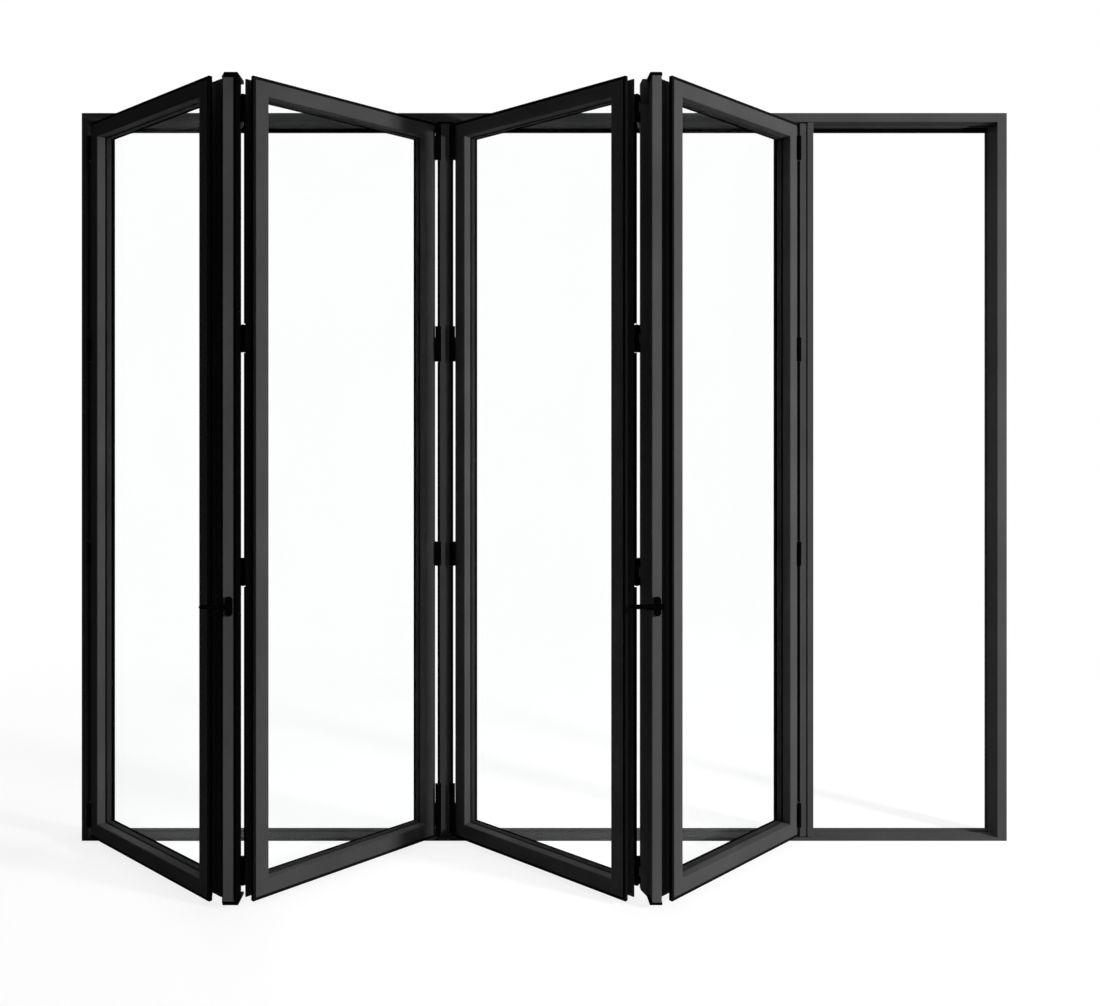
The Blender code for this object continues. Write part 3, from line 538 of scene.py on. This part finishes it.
def leaf_turn(slab):
    """Matrix from an upright leaf (X right, Y inwards, Z up) to the leaf, with the slab's sizes."""
    corners = {tuple(round(c, 5) for c in v.co) for v in slab.data.vertices}
    low = min(z for x, y, z in corners)
    high = max(z for x, y, z in corners)
    foot = [Vector((x, y, 0.0)) for x, y, z in sorted(corners) if z - low < SAME_HEIGHT]
    start = foot[0]
    others = sorted(foot[1:], key=lambda p: (p - start).length)
    inwards = (others[0] - start).normalized()
    if inwards.y < 0:
        inwards = -inwards
    rightwards = Vector((inwards.y, -inwards.x, 0.0))
    middle = sum(foot, Vector((0.0, 0.0, 0.0))) / len(foot)
    turn = Matrix.Identity(4)
    for row in range(3):
        turn[row][0] = rightwards[row]
        turn[row][1] = inwards[row]
        turn[row][3] = middle[row]
    width = (others[1] - start).length
    thickness = (others[0] - start).length
    return turn, width / 2, thickness / 2, low, high


stands = {leaf: leaf_turn(nodes[f"leaf_{leaf}_glass"]) for leaf in LEAVES}
for leaf, (turn, half_width, half_thick, low, high) in stands.items():
    facing = math.degrees(math.atan2(turn[0][1], turn[1][1]))
    size = (2000 * half_width, 1000 * (high - low), 2000 * half_thick)
    print("leaf", leaf, "turned %.1f degrees," % facing, "unit %.0f x %.0f x %.0f mm" % size)

# %% [markdown]
# A bar can be extruded from four points, and that is enough for a pane.  The spacer bar and the
# gaskets run round all four sides, so they are mitred rings: the section is drawn once, as how far
# each point lies inside the edge and how deep it lies.

# %% Panes, spacer bars and gaskets
PANE = 0.004
SIGHT_LINE = 0.011
SPACER_INSET = 0.003
SPACER_SHOWS = 0.0005
GASKET_WIDTH = 0.0028
GASKET_PROUD = 0.0026
GASKET_CREST = (0.6, 0.7)
CREVICE = 0.0001

for leaf, (turn, half_width, half_thick, low, high) in stands.items():
    slab = f"leaf_{leaf}_glass"
    bm = bmesh.new()
    for front, back in ((-half_thick, -half_thick + PANE), (half_thick - PANE, half_thick)):
        left, right = -half_width, half_width
        add_bar(bm, [(left, front), (right, front), (right, back), (left, back)], low, high, turn)
    panes = add_piece(f"leaf_{leaf}_panes", finish_mesh(bm, "panes"), clear, smooth=False)
    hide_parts(slab)

    bm = bmesh.new()
    front = -half_thick + PANE + CREVICE
    inner = SIGHT_LINE + SPACER_SHOWS
    section = [(SPACER_INSET, front), (inner, front), (inner, -front), (SPACER_INSET, -front)]
    add_ring(bm, section, half_width, low, high, turn)
    add_piece(f"leaf_{leaf}_spacer", finish_mesh(bm, "spacer"), trim_grey)

    for place, side, finish in (("front", -1, trim_grey), ("back", 1, black_rubber_and_shade)):
        bm = bmesh.new()
        face = side * (half_thick + CREVICE)
        outer = SIGHT_LINE + CREVICE
        across, proud = GASKET_CREST
        section = [
            (outer, face),
            (outer + GASKET_WIDTH, face),
            (outer + GASKET_WIDTH * across, face + side * GASKET_PROUD * proud),
            (outer, face + side * GASKET_PROUD),
        ]
        add_ring(bm, section, half_width, low, high, turn)
        add_piece(f"leaf_{leaf}_gasket_{place}", finish_mesh(bm, "gasket"), finish)
print("sealed units:", len(stands))

# %% [markdown]
# ## Hinges
#
# Eight pins carry the leaves, four hinges to a pin.  The solids have faceted barrels.  A real
# barrel is round, with a thin line between knuckles and a small domed head on each end of the pin.
# Each pin gets one piece: round sleeves that cover the facets, and the domed heads.

# %% Hinge sleeves
FAR_PIN_Y = -0.046
NEAR_PIN_Y = -0.481892
FAR_PINS = {"a_far": -1.5005, "b_far": -0.352556, "c_far": -0.300256, "d_far": 0.84002}
NEAR_PINS = {"a_near": -0.945544, "b_near": -0.893244, "c_near": 0.240432, "d_near": 0.299332}
HINGE_LEVELS = (0.086, 0.947616, 1.620204, 2.284)
KNUCKLES = ((-0.039, -0.0145), (-0.014, 0.014), (0.0145, 0.039))
SLEEVE_RADIUS = 0.00615
SLEEVE_EDGE = 0.0004
HEAD_RADIUS = 0.0042
HEAD_RISE = 0.0012
HEAD_SUNK = 0.001
HEAD_SHOULDER = 0.4
HEAD_TOP = 0.6
ROUND_STEPS = 28
HEAD_STEPS = 16


def add_turned(bm, profile, centre, steps=ROUND_STEPS):
    """Turn a profile of (radius, height) points round an upright axis and close both ends."""
    rings = []
    for radius, height in profile:
        ring = []
        for i in range(steps):
            angle = 2 * math.pi * i / steps
            x = centre[0] + radius * math.cos(angle)
            y = centre[1] + radius * math.sin(angle)
            ring.append(bm.verts.new((x, y, height)))
        rings.append(ring)
    for here, after in zip(rings, rings[1:]):
        for i in range(steps):
            k = (i + 1) % steps
            bm.faces.new([here[i], here[k], after[k], after[i]])
    bm.faces.new(rings[0][::-1])
    bm.faces.new(rings[-1])


def add_sleeve(bm, x, y, low, high):
    r = SLEEVE_RADIUS
    e = SLEEVE_EDGE
    add_turned(bm, [(r - e, low), (r, low + e), (r, high - e), (r - e, high)], (x, y))


pins = [(name, x, FAR_PIN_Y) for name, x in FAR_PINS.items()]
pins += [(name, x, NEAR_PIN_Y) for name, x in NEAR_PINS.items()]
for name, x, y in pins:
    bm = bmesh.new()
    for z in HINGE_LEVELS:
        for low, high in KNUCKLES:
            add_sleeve(bm, x, y, z + low, z + high)
        for end, way in ((z + KNUCKLES[2][1], 1), (z + KNUCKLES[0][0], -1)):
            profile = [
                (HEAD_RADIUS, end - way * HEAD_SUNK),
                (HEAD_RADIUS, end + way * HEAD_RISE * HEAD_SHOULDER),
                (HEAD_RADIUS * HEAD_TOP, end + way * HEAD_RISE),
            ]
            if way < 0:
                profile = profile[::-1]
            add_turned(bm, profile, (x, y), steps=HEAD_STEPS)
    add_piece(f"hinge_sleeves_{name}", finish_mesh(bm, "sleeves"), lever_coat)
print("hinge sleeves on", len(pins), "pins")

# %% [markdown]
# At the far post the plates of the hinges lap round its corners, and beside the near posts a block
# behind each barrel closes the gap to the leaf.  Both are black, and from the front each hinge
# reads as one solid dark block.  The plates at the far post are longer than its barrels.

# %% Hinge plates and blocks
HINGE_HALF = 0.0395
FAR_POST_FRONT = -0.040
FAR_POST_SIDES = (-0.348556, -0.304256)
FAR_PLATE_SPANS = ((0.0250, 0.1900), (0.9090, 0.9870), (1.5810, 1.6965), (2.2450, 2.3625))
PLATE_LAP = 0.0083
PLATE_PROUD = 0.0016
PLATE_START = 0.0002
PLATE_BEND = 0.001
PLATE_SEAT = FAR_POST_FRONT - 0.0001
BARREL_FRONT = -0.0532
BARREL_INNER = 0.0030
BARREL_OUTER = 0.0062
PLATE_BEVEL = 0.0003
NEAR_BLOCKS = {"b": (-0.9012, -0.8860), "c": (0.2325, 0.2512)}
NEAR_BLOCK_DEPTH = (-0.4755, -0.4665)

for name, corner, way in (("b", FAR_POST_SIDES[0], 1), ("c", FAR_POST_SIDES[1], -1)):
    pin_x = FAR_PINS[f"{name}_far"]
    lap = corner + way * PLATE_LAP
    plate_front = FAR_POST_FRONT - PLATE_PROUD
    outline = [
        (corner - way * PLATE_START, PLATE_SEAT),
        (lap, PLATE_SEAT),
        (lap, plate_front),
        (corner + way * PLATE_BEND, plate_front),
        (pin_x + way * BARREL_INNER, BARREL_FRONT),
        (pin_x - way * BARREL_OUTER, BARREL_FRONT),
        (pin_x - way * BARREL_OUTER, PLATE_SEAT),
    ]
    bm = bmesh.new()
    for low, high in FAR_PLATE_SPANS:
        add_bar(bm, outline, low, high)
    plates = finish_mesh(bm, "plates", bevel=PLATE_BEVEL)
    add_piece(f"hinge_plates_{name}_far", plates, lever_coat)

for name, (low_x, high_x) in NEAR_BLOCKS.items():
    front, back = NEAR_BLOCK_DEPTH
    outline = [(low_x, front), (high_x, front), (high_x, back), (low_x, back)]
    bm = bmesh.new()
    for z in HINGE_LEVELS:
        add_bar(bm, outline, z - HINGE_HALF, z + HINGE_HALF)
    blocks = finish_mesh(bm, "blocks", bevel=PLATE_BEVEL)
    add_piece(f"hinge_blocks_{name}_near", blocks, lever_coat)
print("hinge plates and blocks:", 2 + len(NEAR_BLOCKS))

# %% [markdown]
# ## Rubber strips
#
# Black rubber fills the small steps at the corners of the posts, and lines the left jamb, the left
# side of the end post and the stop lip of the head.  In the steps the black is part rubber and part
# painted shade of the narrow steps.  The linings on the jamb, the end post and the stop lip are
# painted shade: black laid on faces that lie in shade.  Thin fins on the far post narrow the slits
# beside it.  From the front the strips read as thin black lines beside the grey faces.  Each is a
# drawn section, run up between the hinges or over the whole height.

# %% Where strips run
STRIP_GAP = 0.00015
LEAF_FOOT = 0.014
LEAF_HEAD = 2.366
HINGE_CLEAR = 0.042
STRIP_END = 0.010
CORNER_CUT = 0.3

full_height = [(LEAF_FOOT + STRIP_END, LEAF_HEAD - STRIP_END)]
between_hinges = [
    (low + HINGE_CLEAR, high - HINGE_CLEAR) for low, high in zip(HINGE_LEVELS, HINGE_LEVELS[1:])
]


def strip_outline(x_low, x_high, y_front, y_back):
    """A strip with its front corners cut back."""
    cut = min(x_high - x_low, y_back - y_front) * CORNER_CUT
    return [
        (x_low, y_back),
        (x_low, y_front + cut),
        (x_low + cut, y_front),
        (x_high - cut, y_front),
        (x_high, y_front + cut),
        (x_high, y_back),
    ]


def add_strip(name, outline, spans, turn=None):
    bm = bmesh.new()
    for low, high in spans:
        add_bar(bm, outline, low, high, turn)
    return add_piece(name, finish_mesh(bm, name), black_rubber_and_shade)


print("strips run up in", len(between_hinges), "lengths, or in", len(full_height))

# %% [markdown]
# The first near post has a small step at its left corner, filled by a strip.  Leaf B's side has a
# soft seal instead, which laps over the corner and swells into the gap between post and leaf.  The
# black of both is part rubber and part painted shade: it also stands for the shade in the step and
# in the gap.

# %% Strip and seal on near post 1, partly painted shade
NOTCH_DEEP = 0.006
NEAR_POST_FRONT = -0.531892
POST_1_SIDES = (-0.941544, -0.901744)
POST_1_NOTCHES = (0.0033, 0.0045)
RECESS = 0.0004

left, right = POST_1_SIDES
near_front = NEAR_POST_FRONT + RECESS
near_back = NEAR_POST_FRONT + NOTCH_DEEP - STRIP_GAP
outline = strip_outline(left, left + POST_1_NOTCHES[0] - STRIP_GAP, near_front, near_back)
# Painted shade in part: the black strip also stands for the shade in the step.
add_strip("post_1_strip_left", outline, full_height)

SEAL_LAP = 0.0018
SEAL_FACE = 0.0006
SEAL_CORNER = 0.0008
SEAL_PROUD = 0.0038
SEAL_SLOPE = 0.0030
SEAL_DEPTH = 0.040
lap = right - POST_1_NOTCHES[1] - SEAL_LAP
side = right + STRIP_GAP
cover = [
    (lap, NEAR_POST_FRONT - STRIP_GAP),
    (lap, NEAR_POST_FRONT - SEAL_FACE),
    (side + SEAL_CORNER, NEAR_POST_FRONT - SEAL_FACE),
    (side + SEAL_PROUD, NEAR_POST_FRONT + SEAL_SLOPE),
    (side + SEAL_PROUD, NEAR_POST_FRONT + SEAL_DEPTH),
    (side, NEAR_POST_FRONT + SEAL_DEPTH),
    (side, NEAR_POST_FRONT - STRIP_GAP),
]
# Painted shade in part: the black of this seal also stands for the shade in the gap beside leaf B.
add_strip("post_1_side_seal_and_shade", cover, full_height)
print("side seal, mm proud:", 1000 * SEAL_PROUD)

# %% [markdown]
# The far post has a step at either corner, each with its strip, and a thin fin on either side.  The
# black of the strips is part rubber and part painted shade of the steps.

# %% Strips and fins on the far post
FAR_POST_NOTCH = 0.0045

left, right = FAR_POST_SIDES
far_front = FAR_POST_FRONT + RECESS
far_back = FAR_POST_FRONT + NOTCH_DEEP - STRIP_GAP
outline = strip_outline(left, left + FAR_POST_NOTCH - STRIP_GAP, far_front, far_back)
# Painted shade in part: these black strips also stand for the shade in the steps.
add_strip("far_post_strip_left", outline, between_hinges)
outline = strip_outline(right - FAR_POST_NOTCH + STRIP_GAP, right, far_front, far_back)
add_strip("far_post_strip_right", outline, between_hinges)

FIN_PROUD = 0.0036
FIN_FRONT = far_front + 0.0008
FIN_BACK = -0.020
outline = strip_outline(left - FIN_PROUD, left - STRIP_GAP, FIN_FRONT, FIN_BACK)
add_strip("far_post_fin_left", outline, between_hinges)
outline = strip_outline(right + STRIP_GAP, right + FIN_PROUD, FIN_FRONT, FIN_BACK)
add_strip("far_post_fin_right", outline, between_hinges)
print("far post: 2 strips, 2 fins")

# %% [markdown]
# On the jamb and the end post a thin black lining covers the side that a leaf turns past.  It is
# painted shade: these sides lie in shade, and the black stands for it.  On the jamb it ends in a
# small lip over the front.

# %% Painted shade on the jamb and the end post
END_POST_LEFT = 0.84402
JAMB_LEFT_INNER = -1.5045
FRAME_FRONT = -0.042
JAMB_LAP = 0.0010
LIP_RISE = 0.0008
LIP_CORNER = 0.0006
LINING = 0.0014
LINING_BACK = -0.012
END_POST_FRONT = -0.0392
jamb = JAMB_LEFT_INNER + STRIP_GAP
face = FRAME_FRONT - STRIP_GAP
gasket = [
    (jamb - JAMB_LAP, face),
    (jamb - JAMB_LAP, face - LIP_RISE),
    (jamb + LIP_CORNER, face - LIP_RISE),
    (jamb + LINING, face),
    (jamb + LINING, LINING_BACK),
    (jamb, LINING_BACK),
    (jamb, face),
]
# Painted shade: this black lining stands for the shade on the jamb's inner side.
add_strip("jamb_shade_lining", gasket, between_hinges)
left, right = END_POST_LEFT - LINING, END_POST_LEFT - STRIP_GAP
outline = strip_outline(left, right, END_POST_FRONT, LINING_BACK)
# Painted shade: this black lining stands for the shade on the end post's left side.
add_strip("end_post_shade_lining", outline, between_hinges)
print("linings, mm thick:", 1000 * LINING)

# %% [markdown]
# The stop lip at the back of the head carries a black strip over its whole length.  It is painted
# shade: the lip lies in shade under the head's front, and the strip stands for it.  It runs along X,
# so its section is drawn as (y, z) points.

# %% Painted shade on the head's stop lip
STOP_FRONT = 0.034
STOP_SPAN = (2.3568, 2.3705)
STOP_PROUD = 0.0016
STOP_EDGE = 0.0012
STOP_END = 0.002

lip_front = STOP_FRONT - STRIP_GAP
low, high = STOP_SPAN
section = [
    (lip_front, low),
    (lip_front - STOP_PROUD, low + STOP_EDGE),
    (lip_front - STOP_PROUD, high - STOP_EDGE),
    (lip_front, high),
]
head_low, head_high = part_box("head")
ends = (head_low[0] + STOP_END, head_high[0] - STOP_END)
bm = bmesh.new()
rows = [[bm.verts.new((x, y, z)) for x in ends] for y, z in section]
for i in range(4):
    k = (i + 1) % 4
    bm.faces.new([rows[i][0], rows[i][1], rows[k][1], rows[k][0]])
for end in (0, 1):
    bm.faces.new([row[end] for row in rows])
# Painted shade: the black strip stands for the shade on the stop lip under the head's front.
add_piece("head_stop_shade_strip", finish_mesh(bm, "stop gasket"), black_rubber_and_shade)
print("head gasket, mm:", round(1000 * (ends[1] - ends[0])))

# %% [markdown]
# Small rubber blocks close the corners above the top hinges and below the bottom ones, where the
# light would otherwise come through beside the far post.

# %% Corner blocks
BLOCK_WIDTH = 0.0105
BLOCK_DEPTH = (-0.0415, -0.030)
BLOCK_END = 0.002

corner_ends = [
    (LEAF_FOOT + BLOCK_END, HINGE_LEVELS[0] - HINGE_HALF),
    (HINGE_LEVELS[3] + HINGE_HALF, LEAF_HEAD - BLOCK_END),
]
block_starts = {
    "left": FAR_POST_SIDES[0] - STRIP_GAP - BLOCK_WIDTH,
    "right": FAR_POST_SIDES[1] + STRIP_GAP,
}
for side, x_low in block_starts.items():
    outline = strip_outline(x_low, x_low + BLOCK_WIDTH, *BLOCK_DEPTH)
    add_strip(f"far_post_block_{side}", outline, corner_ends)
print("corner blocks:", len(corner_ends) * 2)

# %% [markdown]
# A bulb of rubber runs down the near edge of leaves A, B and C, on the lip behind the seal.  It
# narrows the slit beside the post to a line of light.

# %% Bulbs on the leaf edges
STILE_OUTSIDE_GLASS = 0.031
SEAL_WIDE = 0.009
LIP_FROM_GLASS = -0.0023
BULB_HALF_DEPTH = 0.002
BULB_STEPS = 8
BULBS = {"a": (1, 0.0030), "b": (-1, 0.0054), "c": (1, 0.0102)}

for leaf, (way, size) in BULBS.items():
    turn, half_width, half_thick, low, high = stands[leaf]
    edge = half_width + STILE_OUTSIDE_GLASS + SEAL_WIDE + STRIP_GAP
    outline = []
    for i in range(BULB_STEPS + 1):
        angle = math.pi * i / BULB_STEPS
        across = way * (edge + size * math.sin(angle))
        depth = LIP_FROM_GLASS + BULB_HALF_DEPTH + BULB_HALF_DEPTH * math.cos(angle)
        outline.append((across, depth))
    add_strip(f"leaf_{leaf}_bulb", outline, between_hinges, turn)
print("bulbs:", len(BULBS))

# %% [markdown]
# ## Caps of the near posts
#
# Each near post ends in a black plastic cap, top and bottom, with bevelled corners.  It fits over
# the chamfered end of the post and closes the rubber beside it.  The outlines are drawn as seen
# from the front, in (x, z) points, and extruded from front to back.

# %% Post caps
CAP_FRONT = NEAR_POST_FRONT - 0.0008
CAP_BACK = -0.4665
CAP_BEVEL = 0.0004
CAPS = {
    "1": (
        [
            (-0.9418, 2.3555),
            (-0.9418, 2.3580),
            (-0.9347, 2.3704),
            (-0.8971, 2.3704),
            (-0.8935, 2.3655),
            (-0.8935, 2.3555),
        ],
        [
            (-0.9418, 0.0220),
            (-0.9390, 0.0116),
            (-0.8960, 0.0116),
            (-0.8935, 0.0150),
            (-0.8935, 0.0220),
        ],
    ),
    "2": (
        [
            (0.2695, 2.3610),
            (0.2695, 2.3675),
            (0.2722, 2.3704),
            (0.3030, 2.3704),
            (0.3057, 2.3675),
            (0.3057, 2.3610),
        ],
        [
            (0.2695, 0.0190),
            (0.2695, 0.0130),
            (0.2715, 0.0116),
            (0.3040, 0.0116),
            (0.3057, 0.0130),
            (0.3057, 0.0190),
        ],
    ),
}
AT_PLACE = Vector((0.0, 0.0, 0.0))


def along_y(bm, outline, front, back, centre=AT_PLACE):
    """Extrude an outline of (x, z) points from front to back about a centre."""
    near = [bm.verts.new((centre.x + x, centre.y + front, centre.z + z)) for x, z in outline]
    far = [bm.verts.new((centre.x + x, centre.y + back, centre.z + z)) for x, z in outline]
    count = len(outline)
    bm.faces.new(near)
    bm.faces.new(far[::-1])
    for i in range(count):
        k = (i + 1) % count
        bm.faces.new([near[i], far[i], far[k], near[k]])


for number, outlines in CAPS.items():
    bm = bmesh.new()
    for outline in outlines:
        along_y(bm, outline, CAP_FRONT, CAP_BACK)
    caps = finish_mesh(bm, "caps", bevel=CAP_BEVEL)
    add_piece(f"near_post_{number}_caps", caps, lever_coat)
print("caps:", 2 * len(CAPS))

# %% [markdown]
# The wide flange of the second post keeps its full width almost up to the cap, and then slopes in.
# A small shoulder at either end makes that slope.

# %% Shoulders of the second post
SHOULDER_DEPTH = (-0.4862, -0.4657)
SHOULDERS = (
    [(0.2512, 2.2980), (0.2512, 2.3560), (0.2560, 2.3660), (0.2762, 2.3660), (0.2762, 2.2980)],
    [(0.2512, 0.0820), (0.2512, 0.0340), (0.2700, 0.0145), (0.2762, 0.0145), (0.2762, 0.0820)],
)

bm = bmesh.new()
for outline in SHOULDERS:
    along_y(bm, outline, *SHOULDER_DEPTH)
shoulders = finish_mesh(bm, "shoulders", bevel=CAP_BEVEL)
add_piece("near_post_2_shoulders", shoulders, painted_light_post_coat)
print("shoulders:", len(SHOULDERS))

# %% [markdown]
# ## Handles
#
# A slim lever on each near post, with a long plate behind it that hangs a little below the spindle.
# The lever is a flat bar that tapers to its tip, standing off on a round neck.  The solids are
# faceted, so both are drawn again with rounded edges.  The lever rides on its own body and turns
# about the neck.

# %% Outline of a lever
LEVER_REACHES = {1: 0.075, 2: 0.081}
LEVER_TAIL = 0.016
TAIL_ROUND = 0.007
ROOT_HALF = 0.0082
TIP_HALF = 0.0058
BULGE = 0.14
BULGE_RATE = 1.6
END_STEPS = 6
TAPER_STEPS = 8


def lever_outline(reach):
    """Upper edge from tail to tip, then back along the lower edge, as (x, z) about the spindle."""
    upper = []
    tail = LEVER_TAIL - TAIL_ROUND
    tip = -reach + TIP_HALF
    for i in range(END_STEPS + 1):
        angle = math.pi / 2 * i / END_STEPS
        upper.append((tail + TAIL_ROUND * math.cos(angle), ROOT_HALF * math.sin(angle)))
    for i in range(1, TAPER_STEPS + 1):
        share = i / TAPER_STEPS
        bulge = math.sin(math.pi * min(share * BULGE_RATE, 1.0)) * ROOT_HALF * BULGE
        half = ROOT_HALF * (1 - share) + TIP_HALF * share + bulge
        upper.append((tail * (1 - share) + tip * share, half))
    for i in range(1, END_STEPS):
        angle = math.pi / 2 * i / END_STEPS
        upper.append((tip - TIP_HALF * math.sin(angle), TIP_HALF * math.cos(angle)))
    lower = [(x, -z) for x, z in upper[1:][::-1]]
    return upper + [(-reach, 0.0)] + lower


print("points in a lever's outline:", len(lever_outline(LEVER_REACHES[1])))

# %% [markdown]
# The bar is the outline pushed from front to back with its edges rounded.  The neck is turned
# upright like a hinge barrel, and then laid over so that it points at us.

# %% One lever
LEVER_THICK = 0.010
LEVER_STANDOFF = 0.040
LEVER_BEVEL = 0.0016
NECK_RADIUS = 0.0065
NECK_NARROW = 0.00598
NECK_PROFILE = (
    (NECK_RADIUS, 0.0008),
    (NECK_RADIUS, 0.020),
    (NECK_NARROW, 0.026),
    (NECK_NARROW, 0.034),
)
NECK_STEPS = 24


def make_lever(number, centre):
    bar = bmesh.new()
    outline = lever_outline(LEVER_REACHES[number])
    along_y(bar, outline, -LEVER_STANDOFF, -LEVER_STANDOFF + LEVER_THICK, centre)
    bar_mesh = finish_mesh(bar, "lever", bevel=LEVER_BEVEL)
    neck = bmesh.new()
    add_turned(neck, NECK_PROFILE, (0, 0), steps=NECK_STEPS)
    forwards = Matrix.Translation(centre) @ Matrix.Rotation(math.radians(90), 4, "X")
    bmesh.ops.transform(neck, matrix=forwards, verts=neck.verts)
    whole = bmesh.new()
    whole.from_mesh(bar_mesh)
    whole.from_mesh(finish_mesh(neck, "neck"))
    mesh = finish_mesh(whole, "whole")
    return add_piece(f"lever_{number}_shaped", mesh, lever_coat, f"handle_{number}")


# %% [markdown]
# The plate is a long oval: two half circles joined by straight sides.  It stays on the post while
# the lever turns, so it rides on the door.

# %% One plate
PLATE_HALF_WIDTH = 0.010
PLATE_HALF_HEIGHT = 0.028
PLATE_THICK = 0.006
PLATE_SUNK = 0.0002
PLATE_EDGE = 0.0011
PLATE_RIGHT = 0.001
PLATE_DROP = 0.0045
HALF_CIRCLE_STEPS = 12


def make_plate(number, centre):
    outline = []
    rise = PLATE_HALF_HEIGHT - PLATE_HALF_WIDTH
    for half_turn, middle in ((0, rise), (1, -rise)):
        for i in range(HALF_CIRCLE_STEPS + 1):
            angle = math.pi * (half_turn + i / HALF_CIRCLE_STEPS)
            x = PLATE_HALF_WIDTH * math.cos(angle)
            outline.append((x, PLATE_HALF_WIDTH * math.sin(angle) + middle))
    bm = bmesh.new()
    along_y(bm, outline, -PLATE_THICK, -PLATE_SUNK, centre + Vector((PLATE_RIGHT, 0.0, -PLATE_DROP)))
    mesh = finish_mesh(bm, "plate", bevel=PLATE_EDGE)
    return add_piece(f"escutcheon_{number}_shaped", mesh, lever_coat)


# %% [markdown]
# Each handle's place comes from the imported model: it is where the joint has its spindle.  The new
# lever and plate stand for the faceted ones, which stay in the model for touch and movement.

# %% Both handles
handle_places = {joint["child"]: Vector(joint["pos_m"]) for joint in frame["joints"]}
for number in (1, 2):
    centre = handle_places[f"handle_{number}"]
    lever = make_lever(number, centre)
    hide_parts(f"lever_{number}")
    plate = make_plate(number, centre)
    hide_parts(f"escutcheon_{number}")
    print("handle", number, "at", [round(c, 3) for c in centre])
